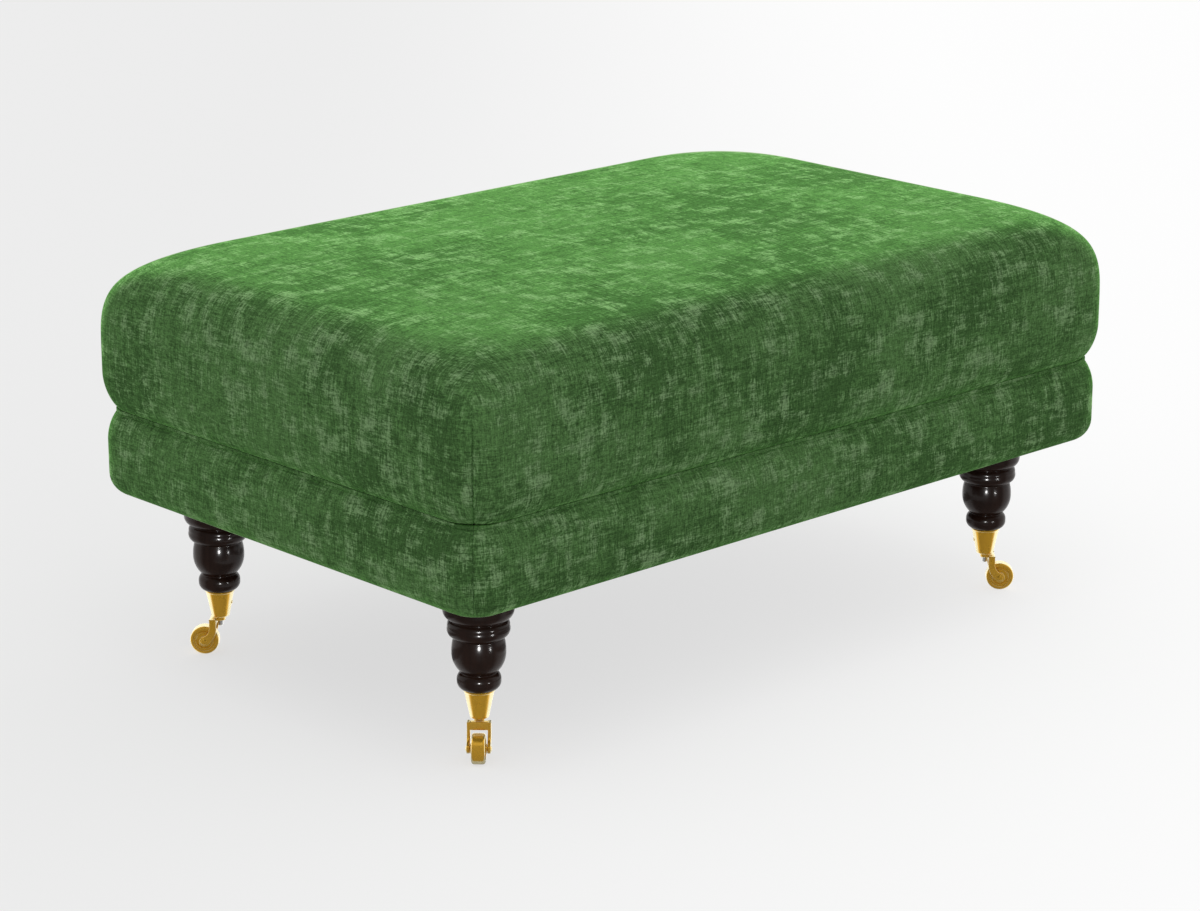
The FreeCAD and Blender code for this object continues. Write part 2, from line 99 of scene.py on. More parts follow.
class Side(Enum):
    """The stool's four sides, as quarter turns about Z from the front."""

    FRONT = 0
    RIGHT = 1
    BACK = 2
    LEFT = 3

    @property
    def label(self) -> str:
        """The side's name as the frame's nodes end."""
        return self.name.lower()


class Slot(Enum):
    """The record's material slots."""

    FABRIC = "green_fabric"
    FOAM = "foam"
    PADDING = "padding"
    WEBBING = "webbing"
    DECK = "deck_cloth"
    DUST = "dust_cloth"
    FRAME_WOOD = "frame_wood"
    LEG_WOOD = "leg_wood"
    BRASS = "brass"
    STEEL = "steel"


# Surfaces and meshes


@dataclass
class Surface:
    """Points and faces of one closed piece, with an optional cloth coordinate for every face corner."""

    points: Array
    faces: Faces
    cloth: Array | None = None

    def joined(self, other: "Surface") -> "Surface":
        """Puts two surfaces into one.

        Args:
            other: The surface to add, which has no cloth coordinates if this one has none.

        Returns:
            A surface that holds both.
        """
        shift = len(self.points)
        faces = self.faces + [tuple(i + shift for i in face) for face in other.faces]
        cloth = None if self.cloth is None else np.concatenate([self.cloth, other.cloth])
        return Surface(np.concatenate([self.points, other.points]), faces, cloth)

    def moved(self, move: Callable[[Array], Array]) -> "Surface":
        """The same surface with its points put through a function of an (n, 3) array."""
        return Surface(move(self.points), self.faces, self.cloth)


def join_all(surfaces: list[Surface]) -> Surface:
    """Puts several surfaces into one.

    Args:
        surfaces: The surfaces, of which there is at least one.

    Returns:
        A surface that holds them all.
    """
    whole = surfaces[0]
    for surface in surfaces[1:]:
        whole = whole.joined(surface)
    return whole


def grid_faces(rows: int, columns: int, wrap_rows: bool, wrap_columns: bool, start: int = 0) -> Faces:
    """Quads over a grid whose point (row, column) has the index start + row * columns + column.

    Args:
        rows: Number of rows of points.
        columns: Number of columns of points.
        wrap_rows: Whether the last row joins the first.
        wrap_columns: Whether the last column joins the first.
        start: Index of the grid's first point.

    Returns:
        One tuple of four indices for each quad.
    """
    row = np.arange(rows if wrap_rows else rows - 1)[:, None]
    column = np.arange(columns if wrap_columns else columns - 1)[None, :]
    below, right = (row + 1) % rows, (column + 1) % columns
    quads = np.stack([
        row * columns + column,
        row * columns + right,
        below * columns + right,
        below * columns + column,
    ], axis=-1)
    return [tuple(quad) for quad in (quads.reshape(-1, 4) + start).tolist()]


def arc_points(first: tuple, through: tuple, last: tuple, count: int) -> Array:
    """Points on the circle through three points of a plane.

    The centre is where the perpendicular bisectors meet, and the angle runs evenly from the first point to
    the last on the side of the middle one.

    Args:
        first: The start.
        through: A point between.
        last: The end.
        count: How many points, both ends included.

    Returns:
        An array (count, 2).
    """
    a, b, c = (np.array(p, float) for p in (first, through, last))
    system = 2 * np.array([b - a, c - a])
    centre = np.linalg.solve(system, np.array([b @ b - a @ a, c @ c - a @ a]))
    angle = [math.atan2(*(p - centre)[::-1]) for p in (a, b, c)]
    turn = (angle[2] - angle[0]) % (2 * math.pi)
    if (angle[1] - angle[0]) % (2 * math.pi) > turn:
        turn -= 2 * math.pi
    run = angle[0] + turn * np.linspace(0, 1, count)
    return centre + np.linalg.norm(a - centre) * np.stack([np.cos(run), np.sin(run)], axis=1)


def distances(points: Array) -> Array:
    """Distance along a line of points, from its first."""
    steps = np.linalg.norm(np.diff(points, axis=0), axis=1)
    return np.concatenate([[0.0], np.cumsum(steps)])


def softened(points: Array, radius: float, spacing: float) -> Array:
    """Rounds the corners of an open line of points, as a turner's tool and the lacquer do.

    The line is walked at even steps, and every point becomes the mean of the line over a window as long as
    the radius, which shrinks to nothing at both ends.

    Args:
        points: An array (n, 2).
        radius: Length of the window.
        spacing: Distance between the new points.

    Returns:
        An array (m, 2) with the same ends.
    """
    run = distances(points)
    count = max(int(run[-1] / spacing), 8)
    at = np.linspace(0, run[-1], count)
    reach = np.minimum(radius / 2, np.minimum(at, run[-1] - at))
    taps = np.linspace(-1, 1, 9)
    where = at[:, None] + reach[:, None] * taps[None, :]
    return np.stack([np.interp(where, run, points[:, i]).mean(axis=1) for i in (0, 1)], axis=1)


def chain(*runs: Array) -> Array:
    """Puts runs of points one after another, without the points that would come twice.

    Args:
        runs: Arrays (n, 2).

    Returns:
        One array (m, 2).
    """
    kept = [runs[0]]
    for run in runs[1:]:
        same = np.linalg.norm(run[0] - kept[-1][-1]) < SAME_POINT
        kept.append(run[1:] if same else run)
    return np.concatenate(kept)


def lathe(profile: Array, segments: int, closed: bool) -> Surface:
    """A surface turned about Z: x = r cos a, y = r sin a, z = z, over the profile and a full turn of a.

    Args:
        profile: An array (n, 2) of radius and height.
        segments: Number of steps round the axis.
        closed: True where the profile's last point joins its first, as on a ring or a tube. Otherwise both
            ends lie on the axis and become poles.

    Returns:
        A closed surface.
    """
    angle = np.linspace(0, 2 * math.pi, segments, endpoint=False)
    body = profile if closed else profile[1:-1]
    radius, height = body[:, :1], body[:, 1:]
    rings = np.stack([
        radius * np.cos(angle),
        radius * np.sin(angle),
        np.broadcast_to(height, (len(body), segments)),
    ], axis=-1).reshape(-1, 3)
    faces = grid_faces(len(body), segments, closed, True)
    if closed:
        return Surface(rings, faces)
    poles = np.array([[0, 0, profile[0, 1]], [0, 0, profile[-1, 1]]])
    first, last = len(rings), len(rings) + 1
    after = (len(body) - 1) * segments
    for i in range(segments):
        j = (i + 1) % segments
        faces.append((first, j, i))
        faces.append((last, after + i, after + j))
    return Surface(np.concatenate([rings, poles]), faces)


def cushioned_plate(outline: Array, low: float, high: float, edge: float, steps: int = 4) -> Surface:
    """A plate of any outline whose edges are rounded on both faces.

    The rings follow the outline, drawn in along its own normals by edge * (1 - sin b) while the depth goes in
    from each face by edge * (1 - cos b), with b from 0 on the face to a right angle on the rim.

    Args:
        outline: An array (n, 2), closed, that runs anticlockwise.
        low: Depth of the plate's first face.
        high: Depth of its second face.
        edge: Radius of the rounding.
        steps: Rings in each rounding.

    Returns:
        A closed surface with the outline in x and z, and the depth in y.
    """
    tangent = np.roll(outline, -1, axis=0) - np.roll(outline, 1, axis=0)
    tangent /= np.linalg.norm(tangent, axis=1)[:, None]
    inward = np.stack([-tangent[:, 1], tangent[:, 0]], axis=1)
    b = np.linspace(0, QUARTER, steps)
    inset = np.concatenate([edge * (1 - np.sin(b)), edge * (1 - np.sin(b))[::-1]])
    depth = np.concatenate([low + edge * (1 - np.cos(b)), (high - edge * (1 - np.cos(b)))[::-1]])
    flat = outline[None] + inset[:, None, None] * inward[None]
    rings = np.stack([
        flat[..., 0],
        np.broadcast_to(depth[:, None], flat.shape[:2]),
        flat[..., 1],
    ], axis=-1).reshape(-1, 3)
    count = len(outline)
    faces = grid_faces(len(depth), count, False, True)
    faces.append(tuple(range(count)))
    faces.append(tuple(range(len(rings) - 1, len(rings) - 1 - count, -1)))
    return Surface(rings, faces)


def rounded_rectangle(width: float, height: float, radius: float, steps: int = 6) -> Array:
    """An anticlockwise outline of four straight sides and four quarter circles, centred on the origin.

    Args:
        width: Size along the first axis.
        height: Size along the second.
        radius: Radius of the corners.
        steps: Points in each corner.

    Returns:
        An array (4 * steps, 2).
    """
    corners = []
    for quarter, (sx, sy) in enumerate([(1, 1), (-1, 1), (-1, -1), (1, -1)]):
        a = QUARTER * quarter + np.linspace(0, QUARTER, steps)
        centre = np.array([sx * (width / 2 - radius), sy * (height / 2 - radius)])
        corners.append(centre + radius * np.stack([np.cos(a), np.sin(a)], axis=1))
    return np.concatenate(corners)


def quarter_turned(points: Array, side: Side) -> Array:
    """Turns points built for the front to another side of the stool.

    Args:
        points: An array (n, 3).
        side: The side.

    Returns:
        The turned points.
    """
    c, s = [(1, 0), (0, 1), (-1, 0), (0, -1)][side.value]
    x, y, z = points.T
    return np.stack([c * x - s * y, s * x + c * y, z], axis=1)


def seam_notch(distance: Array, width: float) -> Array:
    """Share of a seam's depth at a distance from it: a bell curve that has fallen to a third at width."""
    return np.exp(-(distance / width) ** 2)


def make_object(name: str, surface: Surface, sharp: float | None) -> bpy.types.Object:
    """Turns a surface into an object at the origin, with its faces turned outwards.

    Args:
        name: The object's name.
        surface: Its points, faces and cloth coordinates.
        sharp: Angle in degrees above which an edge stays sharp, or None for a surface that is smooth all
            over.

    Returns:
        The new object.
    """
    mesh = bpy.data.meshes.new(name)
    mesh.from_pydata(surface.points.tolist(), [], surface.faces)
    if surface.cloth is not None:
        layer = mesh.uv_layers.new(name="cloth")
        layer.data.foreach_set("uv", surface.cloth.astype(np.float32).ravel())
    mesh.update()
    work = bmesh.new()
    work.from_mesh(mesh)
    bmesh.ops.recalc_face_normals(work, faces=work.faces)
    work.to_mesh(mesh)
    work.free()
    mesh.polygons.foreach_set("use_smooth", [True] * len(mesh.polygons))
    if sharp is not None:
        mesh.set_sharp_from_angle(angle=math.radians(sharp))
    obj = bpy.data.objects.new(name, mesh)
    bpy.context.scene.collection.objects.link(obj)
    return obj


def place(name: str, surface: Surface, body: str, finish: bpy.types.Material, slot: Slot,
          stands_for: tuple[str, ...] = (), sharp: float | None = 35.0) -> bpy.types.Object:
    """Makes a piece, dresses it and lets it ride on its body.

    Args:
        name: The piece's name.
        surface: Its shape, where it stands.
        body: The frame's body that it moves with.
        finish: Its material.
        slot: The record's slot for that finish; not used.
        stands_for: The frame's nodes that it is shown instead of.
        sharp: As make_object takes it.

    Returns:
        The finished object.
    """
    obj = make_object(name, surface, sharp)
    obj.data.materials.append(finish)
    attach(obj, body)
    if stands_for:
        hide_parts(*stands_for)
    log.info("%s: %d faces on %s", name, len(surface.faces), body)
    return obj


def smooth_over(obj: bpy.types.Object) -> None:
    """Subdivides a piece once into a smooth surface, in the view and in the render."""
    modifier = obj.modifiers.new("smooth", "SUBSURF")
    modifier.levels = 1
    modifier.render_levels = 1


# Shader nodes

VALUE, VECTOR, COLOUR = "NodeSocketFloat", "NodeSocketVector", "NodeSocketColor"

# Numbers of the Mix node's colour sockets, whose names come more than once on it
MIX_SHARE, MIX_FIRST, MIX_SECOND, MIX_RESULT = 0, 6, 7, 2


class Tree:
    """Adds nodes to one material or node group and joins them."""

    def __init__(self, tree: bpy.types.NodeTree) -> None:
        """Keeps the node tree that is worked on."""
        self.tree = tree

    def add(self, kind: str, inputs: dict | None = None, **settings: object) -> bpy.types.Node:
        """Adds a node.

        Args:
            kind: The node's type.
            inputs: For each socket's name or number, a socket to link from or a value to set.
            settings: The node's own properties.

        Returns:
            The new node.
        """
        node = self.tree.nodes.new(kind)
        for name, value in settings.items():
            setattr(node, name, value)
        for key, value in (inputs or {}).items():
            if isinstance(value, Socket):
                self.tree.links.new(value, node.inputs[key])
            else:
                node.inputs[key].default_value = value
        return node

    def link(self, source: Socket, target: Socket) -> None:
        """Joins an output to an input."""
        self.tree.links.new(source, target)

    def math(self, operation: str, *values: object, clamp: bool = False) -> Socket:
        """The result of one Math node on sockets or numbers."""
        node = self.add("ShaderNodeMath", dict(enumerate(values)), operation=operation, use_clamp=clamp)
        return node.outputs[0]

    def vector_math(self, operation: str, *values: object) -> Socket:
        """The result of one Vector Math node on sockets or triples of numbers."""
        return self.add("ShaderNodeVectorMath", dict(enumerate(values)), operation=operation).outputs[0]

    def scaled(self, vector: Socket, size: Triple) -> Socket:
        """A coordinate divided by a size in metres along each axis."""
        return self.vector_math("MULTIPLY", vector, tuple(1.0 / s for s in size))

    def noise(self, vector: Socket, size: Triple, detail: float, seed: float) -> Socket:
        """Noise whose blotches are about as large as size, in metres along each axis.

        Args:
            vector: The coordinate.
            size: The blotches' size along each axis.
            detail: Octaves of finer noise on it.
            seed: A shift in a fourth dimension, which gives another pattern.

        Returns:
            A value about 0.5.
        """
        node = self.add("ShaderNodeTexNoise", {
            "Vector": self.scaled(vector, size), "W": seed, "Scale": 1.0, "Detail": detail, "Roughness": 0.5,
        }, noise_dimensions="4D")
        return node.outputs[0]

    def ramp(self, value: Socket, low: float, high: float, to_low: float = 0.0,
             to_high: float = 1.0) -> Socket:
        """A value taken smoothly from one range to another, and held at its ends.

        Args:
            value: The value.
            low: Start of the first range.
            high: End of the first range.
            to_low: The result at its start.
            to_high: The result at its end.

        Returns:
            The new value.
        """
        node = self.add("ShaderNodeMapRange", {
            "Value": value, "From Min": low, "From Max": high, "To Min": to_low, "To Max": to_high,
        }, interpolation_type="SMOOTHSTEP")
        return node.outputs[0]

    def mix(self, share: object, first: object, second: object, blend: str = "MIX") -> Socket:
        """A colour between two, by a share from 0 to 1.

        Args:
            share: The share of the second colour.
            first: The colour at 0.
            second: The colour at 1.
            blend: How the second goes over the first.

        Returns:
            The mixed colour.
        """
        colours = {MIX_SHARE: share, MIX_FIRST: first, MIX_SECOND: second}
        return self.add("ShaderNodeMix", colours, data_type="RGBA", blend_type=blend).outputs[MIX_RESULT]

    def grey(self, value: Socket) -> Socket:
        """A grey colour of a value."""
        return self.add("ShaderNodeCombineColor", {0: value, 1: value, 2: value}).outputs[0]

    def along(self, vector: Socket, way: Vector) -> Socket:
        """How far a vector goes in a direction, as their dot product."""
        node = self.add("ShaderNodeVectorMath", {0: vector, 1: way}, operation="DOT_PRODUCT")
        return node.outputs["Value"]

    def bump(self, height: Socket, depth: float, strength: float) -> Socket:
        """A normal bent by a height.

        Args:
            height: The height, from 0 to 1.
            depth: The metres that a height of 1 stands for.
            strength: How much of the bend is taken.

        Returns:
            The bent normal.
        """
        node = self.add("ShaderNodeBump", {"Height": height, "Distance": depth, "Strength": strength})
        return node.outputs[0]

    def group(self, tree: bpy.types.NodeTree, inputs: dict) -> bpy.types.Node:
        """A shared node group, placed with its own values."""
        return self.add("ShaderNodeGroup", inputs, node_tree=tree)


def new_group(name: str, inputs: dict[str, tuple[str, object]], outputs: dict[str, str]) -> tuple:
    """Starts a shared node group.

    Args:
        name: The group's name.
        inputs: For each input its socket type and default value.
        outputs: For each output its socket type.

    Returns:
        The node tree, its Tree, the node that gives the inputs and the node that takes the outputs.
    """
    tree = bpy.data.node_groups.new(name, "ShaderNodeTree")
    for label, (kind, value) in inputs.items():
        socket = tree.interface.new_socket(name=label, in_out="INPUT", socket_type=kind)
        if value is not None:
            socket.default_value = value
    for label, kind in outputs.items():
        tree.interface.new_socket(name=label, in_out="OUTPUT", socket_type=kind)
    nodes = Tree(tree)
    return tree, nodes, nodes.add("NodeGroupInput"), nodes.add("NodeGroupOutput")


def slub_weave() -> bpy.types.NodeTree:
    """A slubby cloth on coordinates in metres: lighter patches, darker clouds and the crossing threads.

    Each layer is noise drawn out along one of the two thread directions. Where the layers of both
    directions are high together a patch comes out pale, with ragged edges along the threads.
    """
    tree, nodes, given, result = new_group(
        "slub_weave",
        {"Cloth": (VECTOR, None)},
        {"Pale": VALUE, "Deep": VALUE, "Threads": VALUE},
    )
    cloth = given.outputs["Cloth"]
    warp = nodes.noise(cloth, (0.010, 0.034, 1), 2.0, 1.3)
    weft = nodes.noise(cloth, (0.038, 0.010, 1), 2.0, 7.7)
    warp_lines = nodes.noise(cloth, (0.0021, 0.016, 1), 1.5, 3.1)
    weft_lines = nodes.noise(cloth, (0.018, 0.0020, 1), 1.5, 9.4)
    cloud = nodes.noise(cloth, (0.034, 0.030, 1), 1.0, 5.2)
    broad = nodes.noise(cloth, (0.16, 0.12, 1), 1.0, 2.6)
    fine_warp = nodes.noise(cloth, (0.0010, 0.0042, 1), 1.0, 4.4)
    fine_weft = nodes.noise(cloth, (0.0042, 0.0010, 1), 1.0, 8.8)
    grain = nodes.noise(cloth, (0.0011, 0.0011, 1), 1.0, 6.6)
    crossing = nodes.math("ADD", warp, weft)
    lines = nodes.math("ADD", warp_lines, weft_lines)
    ragged = nodes.math("SUBTRACT", nodes.math("ADD", nodes.math("ADD", fine_warp, fine_weft), lines), 2.0)
    patch = nodes.math("ADD", nodes.math("ADD", crossing, cloud), nodes.math("MULTIPLY", ragged, 0.55))
    pale = nodes.ramp(patch, 1.48, 1.98)
    gloom = nodes.math("ADD", nodes.math("MULTIPLY", crossing, 0.5), broad)
    gloom = nodes.math("ADD", gloom, nodes.math("MULTIPLY", ragged, 0.3))
    deep = nodes.ramp(gloom, 1.08, 0.80)
    threads = nodes.math("MULTIPLY", nodes.math("ADD", fine_warp, fine_weft), 0.22)
    threads = nodes.math("ADD", threads, nodes.math("MULTIPLY", lines, 0.16))
    threads = nodes.math("ADD", threads, nodes.math("MULTIPLY", grain, 0.24))
    nodes.link(pale, result.inputs["Pale"])
    nodes.link(deep, result.inputs["Deep"])
    nodes.link(threads, result.inputs["Threads"])
    return tree


def plain_weave() -> bpy.types.NodeTree:
    """A plain weave of round threads, one over and one under, with an uneven yarn.

    The height is the larger of the two sine waves of the crossing threads, each lifted and sunk in turn.
    """
    tree, nodes, given, result = new_group(
        "plain_weave",
        {"Vector": (VECTOR, None), "Threads per metre": (VALUE, 1000.0), "Uneven": (VALUE, 0.3)},
        {"Height": VALUE, "Shade": VALUE},
    )
    parts = nodes.add("ShaderNodeSeparateXYZ", {0: given.outputs["Vector"]})
    waves = []
    for axis in (0, 1):
        turns = nodes.math("MULTIPLY", parts.outputs[axis], given.outputs["Threads per metre"])
        waves.append(nodes.math("SINE", nodes.math("MULTIPLY", turns, math.pi)))
    crossing = nodes.math("MULTIPLY", waves[0], waves[1])
    height = nodes.math("ADD", nodes.math("MULTIPLY", crossing, 0.5), 0.5)
    yarn = nodes.noise(given.outputs["Vector"], (0.004, 0.004, 0.004), 2.0, 0.7)
    uneven = nodes.math("MULTIPLY", nodes.math("SUBTRACT", yarn, 0.5), given.outputs["Uneven"])
    nodes.link(nodes.math("ADD", height, uneven), result.inputs["Height"])
    nodes.link(nodes.math("ADD", nodes.math("MULTIPLY", uneven, 2.0), 0.5), result.inputs["Shade"])
    return tree


def lying_pile() -> bpy.types.NodeTree:
    """A painted sheen for a cut cloth: its colour is made lighter the flatter it is seen, up to a painted
    pale rim reflection at the outline.

    With f as one less the cosine of the angle of view and t = (f - 0.3) / 0.45, each channel grows by its
    gain times the square of t, less where the cloth faces down, which is a painted shade on its undersides,
    and from f = 0.88 on the colour goes over to the painted rim's. The value f comes from the material.
    """
    tree, nodes, given, result = new_group(
        "lying_pile",
        {"Colour": (COLOUR, None), "Gain": (VECTOR, None), "Rim": (COLOUR, None), "Facing": (VALUE, 0.3)},
        {"Colour": COLOUR},
    )
    facing = given.outputs["Facing"]
    # Painted sheen: each channel is lightened by the angle of view, and less where the cloth faces down, a
    # painted shade on its undersides.
    t = nodes.math("MAXIMUM", nodes.math("DIVIDE", nodes.math("SUBTRACT", facing, 0.3), 0.45), 0.0)
    normal = nodes.add("ShaderNodeTexCoord").outputs["Normal"]
    up = nodes.add("ShaderNodeSeparateXYZ", {0: normal}).outputs[2]
    square = nodes.math("MULTIPLY", nodes.math("MULTIPLY", t, t), nodes.ramp(up, -0.3, 0.4, 0.5, 1.0))
    growth = nodes.vector_math("MULTIPLY", given.outputs["Gain"], square)
    growth = nodes.vector_math("ADD", growth, (1, 1, 1))
    grown = nodes.vector_math("MULTIPLY", growth, given.outputs["Colour"])
    # Painted rim reflection: a pale colour at the outline, at half strength where the cloth faces down.
    outline = nodes.ramp(facing, 0.88, 1.0, 0.0, 0.85)
    rim = nodes.math("MULTIPLY", outline, nodes.ramp(up, -0.5, 0.0, 0.5, 1.0))
    nodes.link(nodes.mix(rim, grown, given.outputs["Rim"]), result.inputs["Colour"])
    return tree


def wood_grain() -> bpy.types.NodeTree:
    """Grain along one axis: long streaks with fine pores on them."""
    tree, nodes, given, result = new_group(
        "wood_grain",
        {"Vector": (VECTOR, None)},
        {"Streaks": VALUE, "Pores": VALUE},
    )
    vector = given.outputs["Vector"]
    streaks = nodes.noise(vector, (0.007, 0.007, 0.12), 3.0, 1.9)
    pores = nodes.noise(vector, (0.0008, 0.0008, 0.014), 2.0, 6.1)
    nodes.link(nodes.ramp(streaks, 0.36, 0.64), result.inputs["Streaks"])
    nodes.link(nodes.ramp(pores, 0.40, 0.62), result.inputs["Pores"])
    return tree


def worn_edges() -> bpy.types.NodeTree:
    """Where a hard piece is rubbed: its convex edges, broken up by noise, and faint smudges on its faces."""
    tree, nodes, given, result = new_group(
        "worn_edges",
        {"Pointiness": (VALUE, 0.5), "Vector": (VECTOR, None), "Reach": (VALUE, 0.04)},
        {"Edge": VALUE, "Smudge": VALUE},
    )
    edge = nodes.math("SUBTRACT", given.outputs["Pointiness"], 0.5)
    edge = nodes.math("DIVIDE", edge, given.outputs["Reach"], clamp=True)
    broken = nodes.noise(given.outputs["Vector"], (0.004, 0.004, 0.004), 2.0, 2.2)
    smudge = nodes.noise(given.outputs["Vector"], (0.011, 0.011, 0.011), 3.0, 4.8)
    edge = nodes.math("MULTIPLY", edge, nodes.ramp(broken, 0.30, 0.60, 0.5, 1.0))
    nodes.link(edge, result.inputs["Edge"])
    nodes.link(nodes.ramp(smudge, 0.42, 0.66), result.inputs["Smudge"])
    return tree


@dataclass(frozen=True)
class Groups:
    """The shared node groups, built once."""

    slub: bpy.types.NodeTree
    pile_sheen: bpy.types.NodeTree
    plain: bpy.types.NodeTree
    grain: bpy.types.NodeTree
    worn: bpy.types.NodeTree

    @staticmethod
    def build() -> "Groups":
        """Builds every shared group."""
        return Groups(slub_weave(), lying_pile(), plain_weave(), wood_grain(), worn_edges())


# Finishes


def new_material(name: str) -> tuple[bpy.types.Material, Tree, bpy.types.Node]:
    """Starts a material.

    Args:
        name: The material's name.

    Returns:
        The material, its Tree and its Principled shader.
    """
    material = bpy.data.materials.new(name)
    material.use_nodes = True
    shader = material.node_tree.nodes["Principled BSDF"]
    return material, Tree(material.node_tree), shader


@dataclass(frozen=True)
class Upholstery:
    """The green slub velvet of the cushion and the border, on the cloth coordinates of each panel, with a
    painted sheen that grows with the angle of view and a painted pale rim reflection at the outline.
    """

    green: Colour = (0.0690, 0.152, 0.0475, 1)
    pale: Colour = (0.158, 0.255, 0.122, 1)
    deep: Colour = (0.038, 0.092, 0.026, 1)
    # The colour of the painted rim reflection at the outline.
    rim: Colour = (0.85, 0.92, 0.70, 1)
    # How far each channel is lightened by the painted sheen.
    sheen_gain: Triple = (0.69, 1.05, 0.53)
    nap: float = 0.0007
    deep_share: float = 0.8
    pale_share: float = 0.8
    thread_light: tuple[float, float] = (0.56, 1.44)

    def material(self, groups: Groups) -> bpy.types.Material:
        """Builds the material."""
        material, nodes, shader = new_material("green_slub_velvet")
        cloth = nodes.add("ShaderNodeUVMap", uv_map="cloth").outputs[0]
        weave = nodes.group(groups.slub, {"Cloth": cloth})
        deep = nodes.math("MULTIPLY", weave.outputs["Deep"], self.deep_share)
        pale = nodes.math("MULTIPLY", weave.outputs["Pale"], self.pale_share)
        colour = nodes.mix(pale, nodes.mix(deep, self.green, self.deep), self.pale)
        light = nodes.ramp(weave.outputs["Threads"], 0.37, 0.63, *self.thread_light)
        colour = nodes.mix(1.0, colour, nodes.grey(light), "MULTIPLY")
        # Painted sheen and painted rim reflection, by the angle of view and by which way the cloth faces.
        facing = nodes.add("ShaderNodeLayerWeight", {"Blend": 0.5}).outputs["Facing"]
        pile_sheen = nodes.group(groups.pile_sheen, {"Colour": colour, "Gain": self.sheen_gain, "Rim": self.rim,
                                         "Facing": facing})
        nodes.link(pile_sheen.outputs["Colour"], shader.inputs["Base Color"])
        shader.inputs["Roughness"].default_value = 0.9
        shader.inputs["Specular IOR Level"].default_value = 0.05
        normal = nodes.bump(weave.outputs["Threads"], self.nap, 0.5)
        nodes.link(normal, shader.inputs["Normal"])
        return material


@dataclass(frozen=True)
class WovenCloth:
    """A plain woven cloth or strap, on object coordinates."""

    name: str
    colour: Colour
    shadow: Colour
    threads: float = 1100.0
    depth: float = 0.0003
    roughness: float = 0.85

    def material(self, groups: Groups) -> bpy.types.Material:
        """Builds the material."""
        material, nodes, shader = new_material(self.name)
        where = nodes.add("ShaderNodeTexCoord").outputs["Object"]
        weave = nodes.group(groups.plain, {"Vector": where, "Threads per metre": self.threads})
        share = nodes.ramp(weave.outputs["Height"], 0.2, 0.8)
        colour = nodes.mix(share, self.shadow, self.colour)
        dull = nodes.ramp(nodes.noise(where, (0.03, 0.03, 0.03), 2.0, 3.3), 0.35, 0.65, 0.0, 0.25)
        colour = nodes.mix(dull, colour, self.shadow)
        nodes.link(colour, shader.inputs["Base Color"])
        shader.inputs["Roughness"].default_value = self.roughness
        shader.inputs["Specular IOR Level"].default_value = 0.2
        nodes.link(nodes.bump(weave.outputs["Height"], self.depth, 0.6), shader.inputs["Normal"])
        return material


@dataclass(frozen=True)
class Stuffing:
    """Foam or fibre wadding: a soft mottled mass with an open, grainy surface."""

    name: str
    colour: Colour
    shadow: Colour
    grain: float = 0.0016

    def material(self) -> bpy.types.Material:
        """Builds the material."""
        material, nodes, shader = new_material(self.name)
        where = nodes.add("ShaderNodeTexCoord").outputs["Object"]
        cells = nodes.noise(where, (self.grain,) * 3, 3.0, 1.1)
        cloud = nodes.noise(where, (0.05, 0.05, 0.05), 2.0, 5.0)
        share = nodes.ramp(nodes.math("ADD", cells, nodes.math("MULTIPLY", cloud, 0.5)), 0.55, 0.95)
        nodes.link(nodes.mix(share, self.shadow, self.colour), shader.inputs["Base Color"])
        shader.inputs["Roughness"].default_value = 0.95
        shader.inputs["Specular IOR Level"].default_value = 0.1
        nodes.link(nodes.bump(cells, self.grain * 0.5, 0.6), shader.inputs["Normal"])
        return material


@dataclass(frozen=True)
class Timber:
    """Wood with grain along one axis, raw or under a coat of lacquer."""

    name: str
    colour: Colour
    streak: Colour
    roughness: float
    shine: float = 0.5
    coat: float = 0.0
    coat_roughness: float = 0.12
    grain_axis: int = 2
    pore_depth: float = 0.0001

    def material(self, groups: Groups) -> bpy.types.Material:
        """Builds the material."""
        material, nodes, shader = new_material(self.name)
        where = nodes.add("ShaderNodeTexCoord").outputs["Object"]
        turn = {0: (0, QUARTER, 0), 1: (QUARTER, 0, 0), 2: (0, 0, 0)}[self.grain_axis]
        turned = nodes.add("ShaderNodeMapping", {"Vector": where, "Rotation": turn}).outputs[0]
        grain = nodes.group(groups.grain, {"Vector": turned})
        share = nodes.math("MULTIPLY", grain.outputs["Streaks"], 0.8)
        colour = nodes.mix(share, self.colour, self.streak)
        nodes.link(colour, shader.inputs["Base Color"])
        rough = nodes.ramp(grain.outputs["Pores"], 0.0, 1.0, self.roughness * 0.85, self.roughness * 1.15)
        nodes.link(rough, shader.inputs["Roughness"])
        shader.inputs["Specular IOR Level"].default_value = self.shine
        shader.inputs["Coat Weight"].default_value = self.coat
        shader.inputs["Coat Roughness"].default_value = self.coat_roughness
        normal = nodes.bump(grain.outputs["Pores"], self.pore_depth, 0.25)
        nodes.link(normal, shader.inputs["Normal"])
        return material


